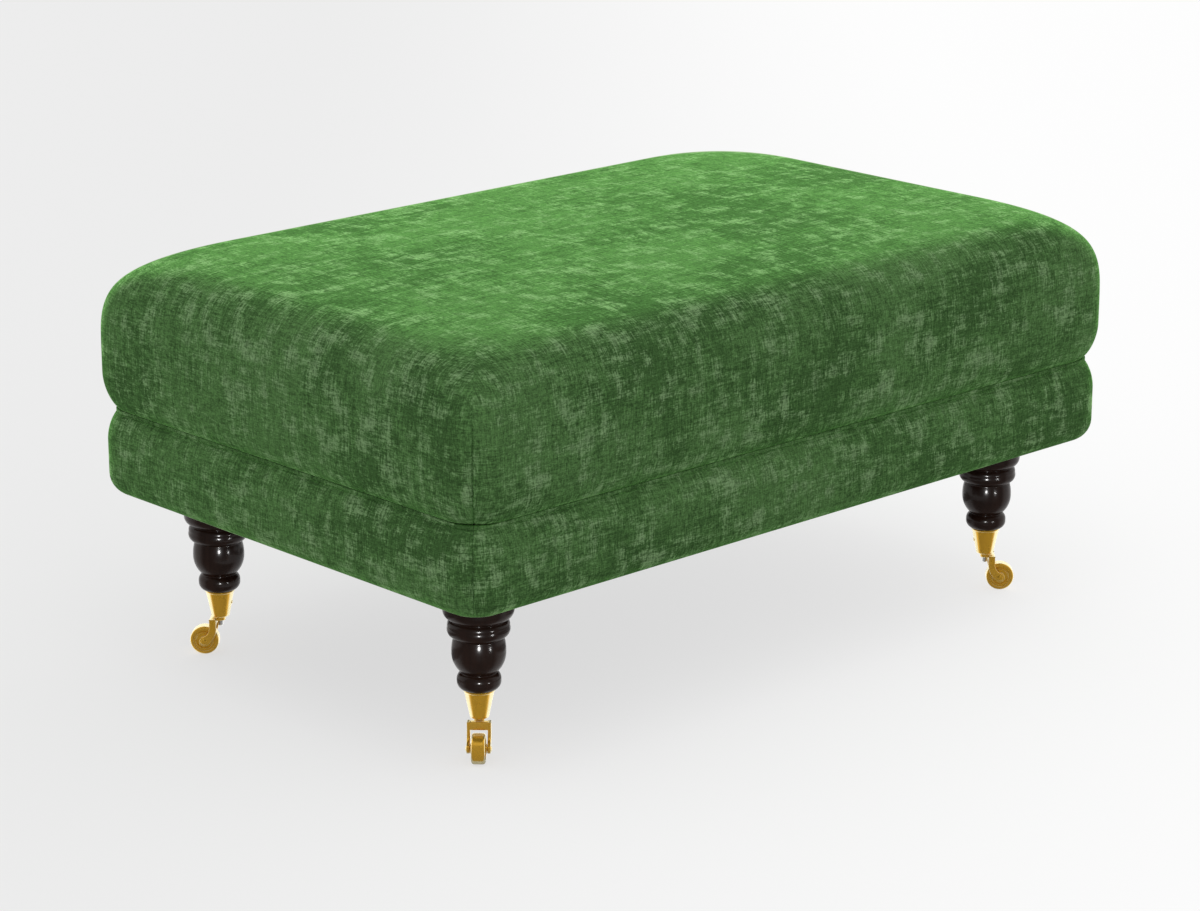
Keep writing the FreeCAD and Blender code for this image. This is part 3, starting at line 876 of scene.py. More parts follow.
@dataclass(frozen=True)
class Metal:
    """A metal with rubbed, brighter edges and smudged faces.

    As one less the cosine of the angle of view rises through the two limits below, its colour goes over to
    the edge's: a painted reflection, paler where the metal is seen at a flat angle.
    """

    name: str
    colour: Colour
    # Colour of the rubbed edges, and also of the painted reflection where the metal is seen at a flat angle.
    edge: Colour
    dull: Colour
    roughness: float
    metallic: float = 1.0
    wear: float = 0.5
    # Limits of the painted reflection, in one less the cosine of the angle of view.
    painted_reflection_from: float = 0.34
    painted_reflection_full: float = 0.48

    def material(self, groups: Groups) -> bpy.types.Material:
        """Builds the material."""
        material, nodes, shader = new_material(self.name)
        where = nodes.add("ShaderNodeTexCoord").outputs["Object"]
        pointed = nodes.add("ShaderNodeNewGeometry").outputs["Pointiness"]
        worn = nodes.group(groups.worn, {"Pointiness": pointed, "Vector": where})
        colour = nodes.mix(nodes.math("MULTIPLY", worn.outputs["Smudge"], 0.5), self.colour, self.dull)
        colour = nodes.mix(nodes.math("MULTIPLY", worn.outputs["Edge"], self.wear), colour, self.edge)
        # Painted reflection: the colour goes over to the pale edge colour where the metal is seen at a flat
        # angle.
        facing = nodes.add("ShaderNodeLayerWeight", {"Blend": 0.5}).outputs["Facing"]
        colour = nodes.mix(nodes.ramp(facing, self.painted_reflection_from, self.painted_reflection_full), colour, self.edge)
        nodes.link(colour, shader.inputs["Base Color"])
        shader.inputs["Metallic"].default_value = self.metallic
        rough = nodes.ramp(worn.outputs["Smudge"], 0.0, 1.0, self.roughness, self.roughness * 1.5)
        nodes.link(rough, shader.inputs["Roughness"])
        grain = nodes.noise(where, (0.0009, 0.0009, 0.0009), 2.0, 7.0)
        nodes.link(nodes.bump(grain, 0.00001, 0.1), shader.inputs["Normal"])
        return material


@dataclass(frozen=True)
class Finishes:
    """Every material of the stool."""

    fabric: bpy.types.Material
    foam: bpy.types.Material
    padding: bpy.types.Material
    webbing: bpy.types.Material
    deck: bpy.types.Material
    dust: bpy.types.Material
    frame_wood: bpy.types.Material
    leg_wood: bpy.types.Material
    brass: bpy.types.Material
    steel: bpy.types.Material

    @staticmethod
    def build() -> "Finishes":
        """Builds every material."""
        groups = Groups.build()
        return Finishes(
            fabric=Upholstery().material(groups),
            foam=Stuffing("seat_foam", (0.75, 0.66, 0.40, 1), (0.55, 0.45, 0.24, 1)).material(),
            padding=Stuffing("fibre_wadding", (0.82, 0.81, 0.77, 1), (0.60, 0.59, 0.55, 1), 0.004).material(),
            webbing=WovenCloth("jute_webbing", (0.42, 0.31, 0.17, 1), (0.17, 0.11, 0.05, 1), 420.0,
                               0.0006).material(groups),
            deck=WovenCloth("hessian_deck", (0.46, 0.36, 0.21, 1), (0.20, 0.14, 0.07, 1), 600.0,
                            0.0004).material(groups),
            dust=WovenCloth("black_dust_cloth", (0.022, 0.022, 0.024, 1), (0.008, 0.008, 0.009, 1),
                            1300.0).material(groups),
            frame_wood=Timber("frame_beech", (0.52, 0.34, 0.19, 1), (0.38, 0.22, 0.11, 1), 0.6, 0.3, 0.0,
                              grain_axis=0).material(groups),
            leg_wood=Timber("dark_lacquered_leg", (0.0175, 0.0078, 0.0050, 1), (0.0240, 0.0108, 0.0072, 1),
                            0.35, 0.03, 0.26, 0.16, 2, 0.00003).material(groups),
            # Each metal's second colour is both its rubbed edges and its painted reflection at a flat angle
            # of view.
            brass=Metal("polished_brass", (0.80, 0.435, 0.030, 1), (1.0, 0.88, 0.50, 1),
                        (0.76, 0.41, 0.027, 1), 0.20, 0.65, 0.06).material(groups),
            steel=Metal("zinc_plated_steel", (0.60, 0.60, 0.58, 1), (0.80, 0.80, 0.78, 1),
                        (0.42, 0.41, 0.39, 1), 0.35).material(groups),
        )


# The seat cushion


@dataclass
class SeatCushion:
    """The crowned foam cushion in its one-piece cover, seamed at the four corners."""

    half_length: float = 470 * MM
    half_width: float = 305 * MM
    height: float = 440.8 * MM
    bottom: float = 272.5 * MM
    crown: float = 8.9 * MM
    lower_in: float = 14 * MM
    lower_up: float = 38.3 * MM
    lower_power: float = 1.7
    roll_in: float = 64 * MM
    roll_down: float = 88.1 * MM
    roll_power: float = 2.75
    corner_radius: float = 38 * MM
    top_corner_radius: float = 136 * MM
    opening_power: float = 1.66
    ridge_half_width: float = 34 * MM
    cover: float = 1.6 * MM
    seam_depth: float = 2.6 * MM
    seam_width: float = 0.8 * MM
    seam_fade: tuple[float, float] = (345 * MM, 408 * MM)
    crown_closing: float = 0.95
    least_straight: float = 2 * MM
    lower_rows: int = 14
    upright_rows: int = 6
    roll_rows: int = 25
    crown_rows: int = 19
    long_columns: int = 76
    short_columns: int = 46
    corner_angles: tuple[float, ...] = (0.6, 1.4, 2.6, 5, 10, 17, 26, 35, 45)

    def build(self, finishes: Finishes) -> None:
        """Makes the covered cushion and the foam core inside it."""
        shape = self.surface(0.0, seams=True)
        cushion = place("seat_cushion", shape, STOOL, finishes.fabric, Slot.FABRIC, ("seat_cover",), None)
        smooth_over(cushion)
        core = self.surface(2 * self.cover, seams=False)
        foam = place("foam_core_block", core, STOOL, finishes.foam, Slot.FOAM, ("foam_core",), None)

    def rows(self, skin: float) -> tuple[Array, Array, Array, Array]:
        """The side profile, from the edge of the underside to the ridge of the crown.

        Both rolls are quarter superellipses with the upright side between them, and the crown rises in a
        parabola. The plan's corner radius opens with a power of the sine of the way in over the top roll, and
        closes again over the crown.

        Args:
            skin: Depth of the surface under the cover's outside.

        Returns:
            For each row the distance in from the face, the height, the corner radius, and the distance along
            the profile from the ridge.
        """
        reach = self.half_width - self.ridge_half_width
        a = np.linspace(0, QUARTER, self.lower_rows)
        power = 2 / self.lower_power
        low_in = self.lower_in - (self.lower_in - skin) * np.sin(a) ** power
        low_z = self.bottom + self.lower_up - (self.lower_up - skin) * np.maximum(np.cos(a), 0) ** power
        roll_foot = self.height - self.crown - self.roll_down
        upright = np.linspace(low_z[-1], roll_foot, self.upright_rows)[1:-1]
        b = np.linspace(0, QUARTER, self.roll_rows)
        power = 2 / self.roll_power
        high_in = self.roll_in - (self.roll_in - skin) * np.maximum(np.cos(b), 0) ** power
        high_z = roll_foot + (self.roll_down - skin) * np.sin(b) ** power
        top_in = self.roll_in + (reach - self.roll_in) * np.linspace(0, 1, self.crown_rows)[1:]
        inset = np.concatenate([low_in, np.full(len(upright), skin), high_in, top_in])
        z = np.concatenate([low_z, upright, high_z, np.full(len(top_in), self.height - self.crown - skin)])
        rise = self.crown * (1 - (1 - np.minimum(inset / reach, 1)) ** 2)
        z = z + np.where(np.arange(len(z)) >= len(low_z) + len(upright), rise, 0)
        opening = np.sin(QUARTER * np.minimum(inset / self.roll_in, 1)) ** self.opening_power
        opening = np.where(np.arange(len(z)) < len(low_z), 0, opening)
        radius = self.corner_radius - skin + (self.top_corner_radius - self.corner_radius) * opening
        closing = (self.half_width - inset) / (self.half_width - self.roll_in) * self.crown_closing
        radius = np.where(inset > self.roll_in, (self.top_corner_radius - skin) * closing, radius)
        radius = np.minimum(radius, self.half_width - inset - self.least_straight)
        along = distances(np.stack([inset, z], axis=1))
        return inset, z, radius, along[-1] - along

    def columns(self) -> tuple[Array, Array, Array, Array]:
        """The columns round the plan, anticlockwise from the seam at the front left corner.

        A point of a column is (ax * (L - r) + r cos p, ay * (W - r) + r sin p), where L and W are the half
        sizes of a row's rounded rectangle and r its corner radius.

        Returns:
            The arrays ax, ay, p and, for each column, the number of the side that it opens.
        """
        turn = np.radians(np.array(self.corner_angles))
        ax, ay, p, side = [], [], [], []
        starts = [((-1, -1), (1, -1)), ((1, -1), (1, 1)), ((1, 1), (-1, 1)), ((-1, 1), (-1, -1))]
        for number, (first, last) in enumerate(starts):
            facing = -QUARTER + QUARTER * number
            count = self.long_columns if number % 2 == 0 else self.short_columns
            entering = facing - math.pi / 4 + np.concatenate([[0], turn])
            leaving = facing + math.pi / 4 - turn[:-1][::-1]
            share = np.linspace(0, 1, count + 1)[1:]
            along_x = first[0] + (last[0] - first[0]) * share
            along_y = first[1] + (last[1] - first[1]) * share
            ax += [np.full(len(entering), first[0]), along_x, np.full(len(leaving), last[0])]
            ay += [np.full(len(entering), first[1]), along_y, np.full(len(leaving), last[1])]
            p += [entering, np.full(count, facing), leaving]
            side += [np.full(len(entering) + count + len(leaving), number)]
        return tuple(np.concatenate(part).astype(float) for part in (ax, ay, p, side))

    def surface(self, skin: float, seams: bool) -> Surface:
        """The whole closed surface: rings from the underside to the ridge, and a patch in each end ring.

        Args:
            skin: Depth of the surface under the cover's outside.
            seams: Whether the corner seams are drawn in.

        Returns:
            The surface with cloth coordinates that run over the top and down each side as the cover does.
        """
        inset, z, radius, along = self.rows(skin)
        ax, ay, p, side = self.columns()
        length = (self.half_length - inset - radius)[:, None]
        width = (self.half_width - inset - radius)[:, None]
        r = radius[:, None]
        x = ax * length + r * np.cos(p)
        y = ay * width + r * np.sin(p)
        if seams:
            off = (p - (math.pi / 4)) % QUARTER
            off = np.minimum(off, QUARTER - off)
            fade = np.clip((self.seam_fade[1] - z) / (self.seam_fade[1] - self.seam_fade[0]), 0, 1)
            pull = self.seam_depth * seam_notch(r * off, self.seam_width) * fade[:, None]
            x = x - pull * np.cos(p)
            y = y - pull * np.sin(p)
        rings = np.stack([x, y, np.broadcast_to(z[:, None], x.shape)], axis=-1)
        rows, columns = x.shape
        points = rings.reshape(-1, 3)
        faces = grid_faces(rows, columns, False, True)
        cloth = self.ring_cloth(p, side, inset, radius, along)
        top_points, top_faces = self.patch(rings[-1], (rows - 1) * columns, len(points), True)
        points = np.concatenate([points, top_points])
        low_points, low_faces = self.patch(rings[0], 0, len(points), False)
        points = np.concatenate([points, low_points])
        ends = top_faces + low_faces
        flat = points[np.array(ends).ravel()][:, :2]
        return Surface(points, faces + ends, np.concatenate([cloth, flat]))

    def ring_cloth(self, p: Array, side: Array, inset: Array, radius: Array, along: Array) -> Array:
        """Cloth coordinates for the corners of the ring faces.

        On each side the first coordinate is the way along the side, and the second the way from the middle
        over the top and down. On the top they are x and y. Down the roll the rounded part of a corner is
        unrolled more and more, so the two sides part at the seam as the cut cloth does.

        Args:
            p: As columns gives it.
            side: As columns gives it.
            inset: As rows gives it.
            radius: As rows gives it.
            along: As rows gives it.

        Returns:
            An array (faces * 4, 2).
        """
        unroll = np.clip((self.roll_in - inset) / self.roll_in, 0, 1)
        side_row = along > along[np.argmax(inset >= self.roll_in)]
        unroll = np.where(side_row, np.where(unroll > 0, unroll, 1.0), 0.0)
        unroll = (unroll * unroll * (3 - 2 * unroll))[:, None]
        rows, columns = len(inset), len(p)
        coordinates = np.zeros((rows, 2, columns, 2))
        number = side.astype(int)
        reach = self.half_width - self.ridge_half_width
        for end in (0, 1):
            column = (np.arange(columns) + end) % columns
            facing = -QUARTER + QUARTER * number
            theta = (p[column] - facing + math.pi) % (2 * math.pi) - math.pi
            long_side = number % 2 == 0
            half = np.where(long_side, self.half_length, self.half_width)
            middle = np.where(long_side, self.half_width, self.half_length) - reach
            share = self.share_along(column, number)
            r = radius[:, None]
            across = share * (half - inset[:, None] - r)
            across = across + r * (np.sin(theta) * (1 - unroll) + theta * unroll)
            down = middle + along[:, None] - (1 - unroll) * r * (1 - np.cos(theta))
            turn_c = np.array([1, 0, -1, 0])[number]
            turn_s = np.array([0, 1, 0, -1])[number]
            coordinates[:, end, :, 0] = turn_c * across + turn_s * down
            coordinates[:, end, :, 1] = turn_s * across - turn_c * down
        lower, upper = coordinates[:-1], coordinates[1:]
        corners = [lower[:, 0], lower[:, 1], upper[:, 1], upper[:, 0]]
        return np.stack(corners, axis=2).reshape(-1, 2)

    def share_along(self, column: Array, number: Array) -> Array:
        """How far along its side a column stands.

        Args:
            column: Numbers of the columns.
            number: The side that each is on.

        Returns:
            A share that runs from -1 to 1 over the straight part.
        """
        turns = len(self.corner_angles)
        count = np.where(number % 2 == 0, self.long_columns, self.short_columns)
        first = np.array([int(np.argmax(number == n)) for n in range(4)])[number]
        step = (column - first) % (2 * (self.long_columns + self.short_columns) + 8 * turns)
        return np.clip((step - turns) / count, 0, 1) * 2 - 1

    def patch(self, ring: Array, ring_start: int, start: int, up: bool) -> tuple[Array, Faces]:
        """Fills a ring with a grid: each inner point is blended from the four sides of the ring.

        The blend is the sum of the two straight blends between facing sides, less the blend of the four
        corners.

        Args:
            ring: The ring's points in column order.
            ring_start: Index of the ring's first point.
            start: Index that the first new point will have.
            up: True for the top, where the grid is seen from above.

        Returns:
            The new points and the faces.
        """
        turns = len(self.corner_angles)
        long_count, short_count = self.long_columns + 2 * turns, self.short_columns + 2 * turns
        total = len(ring)
        index = np.zeros((short_count + 1, long_count + 1), int)
        index[0] = np.arange(long_count + 1)
        index[:, -1] = long_count + np.arange(short_count + 1)
        index[-1, ::-1] = long_count + short_count + np.arange(long_count + 1)
        index[::-1, 0] = (2 * long_count + short_count + np.arange(short_count + 1)) % total
        border = ring[index]
        s = np.linspace(0, 1, short_count + 1)[:, None, None]
        t = np.linspace(0, 1, long_count + 1)[None, :, None]
        blend = (1 - s) * border[:1] + s * border[-1:] + (1 - t) * border[:, :1] + t * border[:, -1:]
        blend = blend - ((1 - s) * (1 - t) * border[0, 0] + (1 - s) * t * border[0, -1]
                         + s * (1 - t) * border[-1, 0] + s * t * border[-1, -1])
        inner = blend[1:-1, 1:-1].reshape(-1, 3)
        index += ring_start
        index[1:-1, 1:-1] = start + np.arange(len(inner)).reshape(short_count - 1, long_count - 1)
        quads = np.stack([index[:-1, :-1], index[:-1, 1:], index[1:, 1:], index[1:, :-1]], axis=-1)
        if not up:
            quads = quads[..., ::-1]
        return inner, [tuple(quad) for quad in quads.reshape(-1, 4).tolist()]


# The border


@dataclass
class Border:
    """The padded band round the frame: four covered sides that meet at corner seams, and their wadding."""

    half_length: float = 469 * MM
    half_width: float = 303 * MM
    corner_radius: float = 41 * MM
    bottom: float = 178.5 * MM
    top: float = 272.3 * MM
    roll: float = 24 * MM
    shoulder_radius: float = 52.3 * MM
    band_in: float = 9.6 * MM
    band_bottom: float = 268.2 * MM
    band_line: float = 12.7 * MM
    cushion_reach: float = 1 * MM
    tuck: float = 37 * MM
    cover: float = 1.6 * MM
    padding: float = 8 * MM
    rail_top: float = 267 * MM
    rail_round_over: float = 20 * MM
    rail_easing: float = 8 * MM
    crease_depth: float = 0.9 * MM
    crease_width: float = 0.6 * MM
    seam_depth: float = 0.9 * MM
    seam_width: float = 0.7 * MM
    seam_gap: float = 0.0015
    side_apart: float = 1.37
    column_step: float = 8 * MM
    corner_angles: tuple[float, ...] = (0.7, 2.0, 5, 10, 17, 25, 35, 45)

    def build(self, finishes: Finishes) -> None:
        """Makes the four covered sides and the wadding under them."""
        wadding = []
        for side in Side:
            shape = self.side_surface(self.cover_loop(), side, seams=True)
            name = "border_cover_" + side.label
            piece = place("padded_border_" + side.label, shape, STOOL, finishes.fabric, Slot.FABRIC,
                          (name,), 50.0)
            wadding.append(self.side_surface(self.wadding_loop(), side, seams=False))
        piece = place("border_wadding", join_all(wadding), STOOL, finishes.padding, Slot.PADDING,
                      ("border_padding",))

    def face_line(self, skin: float, fine: bool) -> Array:
        """The outside of the section, from the underside up: a roll, the upright, the shoulder and the band.

        The rolls are quarter circles and the shoulder is part of one, which ends at the crease under the
        narrow upright band. The points of the shoulder crowd towards the crease as the sine of their count
        does.

        Args:
            skin: Depth under the cover's outside.
            fine: Whether points are dense enough for the crease.

        Returns:
            An array (n, 3) of the distance in from the face, the height, and how much of the band's own shift
            a point takes, which grows from nothing at the foot of the shoulder.
        """
        low, high = self.roll - skin, self.shoulder_radius - skin
        to_band = self.shoulder_radius - self.band_in
        low_z = self.bottom + self.roll
        high_z = self.band_bottom - math.sqrt(self.shoulder_radius ** 2 - to_band ** 2)
        a = np.linspace(0, QUARTER, 10)
        rolled = np.stack([self.roll - low * np.sin(a), low_z - low * np.cos(a)], axis=1)
        upright = np.stack([np.full(7, skin), np.linspace(low_z, high_z, 7)], axis=1)
        b = math.acos((to_band - skin) / high) * np.sin(np.linspace(0, QUARTER, 44 if fine else 8))
        shoulder = np.stack([self.shoulder_radius - high * np.cos(b), high_z + high * np.sin(b)], axis=1)
        rise = shoulder[-1, 1] + (self.top - skin - shoulder[-1, 1]) * np.linspace(0, 1, 14 if fine else 3)
        band = np.stack([np.full(len(rise), self.band_in + skin), rise], axis=1)
        line = chain(rolled, upright, shoulder, band[1:])
        share = np.clip((line[:, 1] - high_z) / (self.band_bottom - high_z), 0, 1) ** 2
        return np.concatenate([line, share[:, None]], axis=1)

    def cover_loop(self) -> Array:
        """The cover's closed section, turned in over and under the rail, with the crease under the band."""
        outer = self.face_line(0.0, True)
        inner = self.face_line(self.cover, False)[::-1]
        along = distances(outer[:, :2])
        from_crease = along[-1] - along - (self.top - self.band_bottom)
        slope = np.gradient(outer[:, :2], axis=0)
        slope /= np.linalg.norm(slope, axis=1)[:, None]
        inward = np.stack([slope[:, 1], -slope[:, 0]], axis=1)
        notch = self.crease_depth * seam_notch(from_crease, self.crease_width)
        outer[:, :2] += inward * notch[:, None]
        low = np.array([[self.tuck, self.bottom + self.cover, 0], [self.tuck, self.bottom, 0]])
        high = np.array([[self.tuck, self.top, 0], [self.tuck, self.top - self.cover, 0]])
        shelf = np.linspace(outer[-1], high[0], 6)[1:]
        return np.concatenate([low[1:], outer, shelf, high[1:], inner, low[:1]])

    def wadding_loop(self) -> Array:
        """The closed section of the wadding between the cover and the rail."""
        back = self.cover + self.padding
        clear = 0.3 * MM
        front = self.face_line(self.cover + clear, False)
        centre = (back + self.rail_round_over, self.bottom + self.cover + self.rail_round_over)
        start = math.acos((centre[0] - self.roll) / self.rail_round_over)
        a = np.linspace(0, start, 8)
        under = np.stack([
            centre[0] - clear - self.rail_round_over * np.cos(a),
            centre[1] - self.rail_round_over * np.sin(a),
        ], axis=1)
        shelf = self.rail_top + 1.8 * MM + clear
        eased = np.array([back, self.rail_top]) + self.rail_easing * np.array([1, -1])
        top = np.array([[self.tuck, self.top - self.cover - clear], [self.tuck, shelf], [eased[0], shelf]])
        b = np.linspace(QUARTER, 0, 6)
        over = eased + (self.rail_easing + clear) * np.stack([-np.cos(b), np.sin(b)], axis=1)
        behind = np.concatenate([top, over, under])
        return np.concatenate([front, np.pad(behind, ((0, 0), (0, 1)))])

    def side_surface(self, loop: Array, side: Side, seams: bool) -> Surface:
        """Carries a closed section along one side and half way round the corner at each end.

        A point of the section at distance d in from the face stands at R - d from the corner's centre,
        turned by t from the side's normal, and t runs from -45 to 45 degrees with the straight run
        between. Where a point takes a share of the band's shift, d grows until the band runs at an even
        distance in from the cushion's face, and less so round the corners, where the two plans already
        part.

        Args:
            loop: The closed section.
            side: Which side of the stool.
            seams: Whether the ends are drawn in at the corner seams.

        Returns:
            The closed surface in its place, with cloth coordinates along the side and round the section.
        """
        sizes = (self.half_length, self.half_width)
        along, face = sizes if side.value % 2 == 0 else sizes[::-1]
        run = along - self.corner_radius
        turn = math.pi / 4 - np.radians(np.array(self.corner_angles))
        corner = np.concatenate([[math.pi / 4 - self.seam_gap], turn])
        straight = np.linspace(-run, run, int(2 * run / self.column_step))
        t = np.concatenate([-corner, np.zeros(len(straight) - 2), corner[::-1]])
        at = np.concatenate([np.full(len(corner), -run), straight[1:-1], np.full(len(corner), run)])
        overhang = self.cushion_reach * (2 if side.value % 2 == 0 else 1)
        shift = (self.band_line - overhang - self.band_in) * (1 - np.abs(t) / (math.pi / 4))
        inset = loop[:, :1] + loop[:, 2:] * shift[None, :]
        if seams:
            from_seam = self.corner_radius * (math.pi / 4 - np.abs(t))
            outer = np.clip(1 - loop[:, :1] / self.tuck, 0, 1)
            inset += self.seam_depth * seam_notch(from_seam, self.seam_width)[None, :] * outer
        x = at + (self.corner_radius - inset) * np.sin(t)
        y = -(face - self.corner_radius) - (self.corner_radius - inset) * np.cos(t)
        z = np.broadcast_to(loop[:, 1:2], x.shape)
        points = quarter_turned(np.stack([x, y, z], axis=-1).reshape(-1, 3), side)
        rows, columns = x.shape
        faces = grid_faces(rows, columns, True, False)
        u = at + self.corner_radius * t
        v = distances(np.concatenate([loop, loop[:1]])[:, :2])
        quads = np.array(faces)
        row, column = quads // columns, quads % columns
        row[(row == 0) & (row.max(axis=1, keepdims=True) == rows - 1)] = rows
        cloth = np.stack([u[column] + side.value * self.side_apart, v[row]], axis=-1).reshape(-1, 2)
        first = tuple(range(0, rows * columns, columns))
        last = tuple(range(columns - 1, rows * columns, columns))
        faces += [first, last[::-1]]
        ends = np.zeros((2 * rows, 2))
        return Surface(points, faces, np.concatenate([cloth, ends]))


# The suspension, the cloths and the frame


@dataclass
class Suspension:
    """Woven webbing across the frame's top, the deck cloth on it, and the dust cover underneath."""

    half_length: float = 459.4 * MM
    half_width: float = 293.4 * MM
    rail: float = 34 * MM
    rail_top: float = 267 * MM
    strap_width: float = 50 * MM
    strap_thickness: float = 1.8 * MM
    strap_lift: float = 1.9 * MM
    straps_along: int = 4
    straps_across: int = 7
    grip: float = 9 * MM
    cloth: float = 0.8 * MM
    dust_top: float = 178.5 * MM
    staple_step: float = 48 * MM
    staple_end: float = 30 * MM
    staple_in: float = 7 * MM

    def build(self, finishes: Finishes) -> None:
        """Makes the webbing, both cloths and the staples of the dust cover."""
        across_at = self.evenly(self.straps_across, self.half_length - self.rail)
        along_at = self.evenly(self.straps_along, self.half_width - self.rail)
        along = [
            self.strap(self.half_length - self.grip, across_at, i % 2 == 0).moved(
                lambda p, y=y: p + np.array([0, y, 0]))
            for i, y in enumerate(along_at)
        ]
        across = [
            self.strap(self.half_width - self.grip, along_at, i % 2 == 1).moved(
                lambda p, x=x: quarter_turned(p, Side.RIGHT) + np.array([x, 0, 0]))
            for i, x in enumerate(across_at)
        ]
        place("webbing_straps_lengthwise", join_all(along), STOOL, finishes.webbing, Slot.WEBBING,
              ("webbing_lengthwise",))
        place("webbing_straps_crosswise", join_all(across), STOOL, finishes.webbing, Slot.WEBBING,
              ("webbing_crosswise",))
        self.deck(finishes)
        self.dust_cover(finishes)

    def evenly(self, count: int, reach: float) -> Array:
        """Places of count straps, evenly spaced between -reach and reach."""
        return 2 * reach / count * (np.arange(count) - (count - 1) / 2)

    def strap(self, half_run: float, crossings: Array, starts_high: bool) -> Surface:
        """A strap along X whose height follows a cosine between its high and its low crossings.

        Args:
            half_run: Half of the strap's length.
            crossings: Places of the straps that it crosses.
            starts_high: Whether it passes over the first of them.

        Returns:
            A closed strip, rounded at its edges.
        """
        stops = np.concatenate([[-half_run], crossings, [half_run]])
        highs = [(i % 2 == 0) == starts_high for i in range(len(crossings))]
        heights = np.array([0.0] + [self.strap_lift * high for high in highs] + [0.0])
        x = np.linspace(-half_run, half_run, 160)
        leg = np.clip(np.searchsorted(stops, x, side="right") - 1, 0, len(stops) - 2)
        share = (x - stops[leg]) / (stops[leg + 1] - stops[leg])
        eased = (1 - np.cos(math.pi * share)) / 2
        z = self.rail_top + heights[leg] * (1 - eased) + heights[leg + 1] * eased
        section = rounded_rectangle(self.strap_width, self.strap_thickness, self.strap_thickness * 0.45, 3)
        points = np.stack([
            np.broadcast_to(x[:, None], (len(x), len(section))),
            np.broadcast_to(section[None, :, 0], (len(x), len(section))),
            z[:, None] + self.strap_thickness / 2 + section[None, :, 1],
        ], axis=-1).reshape(-1, 3)
        faces = grid_faces(len(x), len(section), False, True)
        faces.append(tuple(range(len(section))))
        faces.append(tuple(range(len(points) - 1, len(points) - 1 - len(section), -1)))
        return Surface(points, faces)

    def thin_sheet(self, half_x: float, half_y: float, low: float, wave: float) -> Surface:
        """A stretched cloth as a closed thin slab that ripples by the product of two cosines.

        Args:
            half_x: Half of its length.
            half_y: Half of its width.
            low: Height of its underside.
            wave: Height of the ripple.

        Returns:
            The closed surface.
        """
        nx, ny = 61, 41
        x, y = np.meshgrid(np.linspace(-half_x, half_x, nx), np.linspace(-half_y, half_y, ny))
        fall = (1 - (x / half_x) ** 8) * (1 - (y / half_y) ** 8)
        ripple = wave * fall * np.cos(x / half_x * 7 * math.pi / 2) * np.cos(y / half_y * 4 * math.pi / 2)
        sheets = [np.stack([x, y, z + ripple], axis=-1).reshape(-1, 3) for z in (low, low + self.cloth)]
        under = [face[::-1] for face in grid_faces(ny, nx, False, False)]
        over = grid_faces(ny, nx, False, False, nx * ny)
        index = np.arange(nx * ny).reshape(ny, nx)
        rim = np.concatenate([index[0, :-1], index[:-1, -1], index[-1, :0:-1], index[:0:-1, 0]])
        after = np.roll(rim, -1)
        sides = [(int(a), int(b), int(b) + nx * ny, int(a) + nx * ny) for a, b in zip(rim, after)]
        return Surface(np.concatenate(sheets), under + over + sides)

    def deck(self, finishes: Finishes) -> None:
        """The cloth stretched over the webbing, under the cushion."""
        half_x, half_y = self.half_length - self.rail, self.half_width - self.rail
        low = self.rail_top + self.strap_lift + self.strap_thickness + 0.1 * MM
        shape = self.thin_sheet(half_x, half_y, low, 0.05 * MM)
        deck = place("deck_cloth_sheet", shape, STOOL, finishes.deck, Slot.DECK, ("deck_cloth",))

    def dust_cover(self, finishes: Finishes) -> None:
        """The black cloth under the frame, and the staples that hold it to the rails."""
        half_x, half_y = self.half_length - self.rail / 2, self.half_width - self.rail / 2
        shape = self.thin_sheet(half_x, half_y, self.dust_top - self.cloth, 0.0)
        cover = place("dust_cover_sheet", shape, STOOL, finishes.dust, Slot.DUST, ("dust_cover",))
        staples = []
        crown = rounded_rectangle(9 * MM, 1.0 * MM, 0.4 * MM, 3)
        for side in Side:
            reach, face = (half_x, half_y) if side.value % 2 == 0 else (half_y, half_x)
            last = reach - self.staple_end
            count = int(2 * last / self.staple_step)
            for x in np.linspace(-last, last, count):
                height = self.dust_top - self.cloth
                staple = cushioned_plate(crown, -0.45 * MM, 0.45 * MM, 0.2 * MM, 2)
                staples.append(staple.moved(lambda p, x=x: quarter_turned(
                    p + np.array([x, -face + self.staple_in, height]), side)))
        place("dust_cover_staples", join_all(staples), STOOL, finishes.steel, Slot.STEEL)


@dataclass(frozen=True)
class WoodenFrame:
    """The frame's own solids, which keep their shape and get their finish."""

    timber: tuple[str, ...] = ("front_rail", "back_rail", "left_rail", "right_rail", "centre_rail")
    hardware: tuple[str, ...] = ("leg_bolts", "leg_nuts")

    def build(self, finishes: Finishes) -> None:
        """Dresses the rails, the leg plates, the bolts and the nuts."""
        plates = tuple(corner.label + "_leg_plate" for corner in Corner)
        for names, finish in ((self.timber + plates, finishes.frame_wood), (self.hardware, finishes.steel)):
            for name in names:
                mesh = frame["nodes"][name].data
                mesh.materials.clear()
                mesh.materials.append(finish)
                log.info("%s: dressed", name)


# The legs and the castors


@dataclass(frozen=True)
class LegPlace:
    """Where a corner's leg stands, and the way from its swivel axis out to its wheel."""

    corner: Corner

    def set_down(self, points: Array) -> Array:
        """Carries points built about the Z axis, with the wheel out along +X, to this leg."""
        sx, sy = self.corner.value
        a = math.atan2(sy, sx)
        x, y, z = points.T
        return np.stack([
            LEG_X * sx + x * math.cos(a) - y * math.sin(a),
            LEG_Y * sy + x * math.sin(a) + y * math.cos(a),
            z,
        ], axis=1)


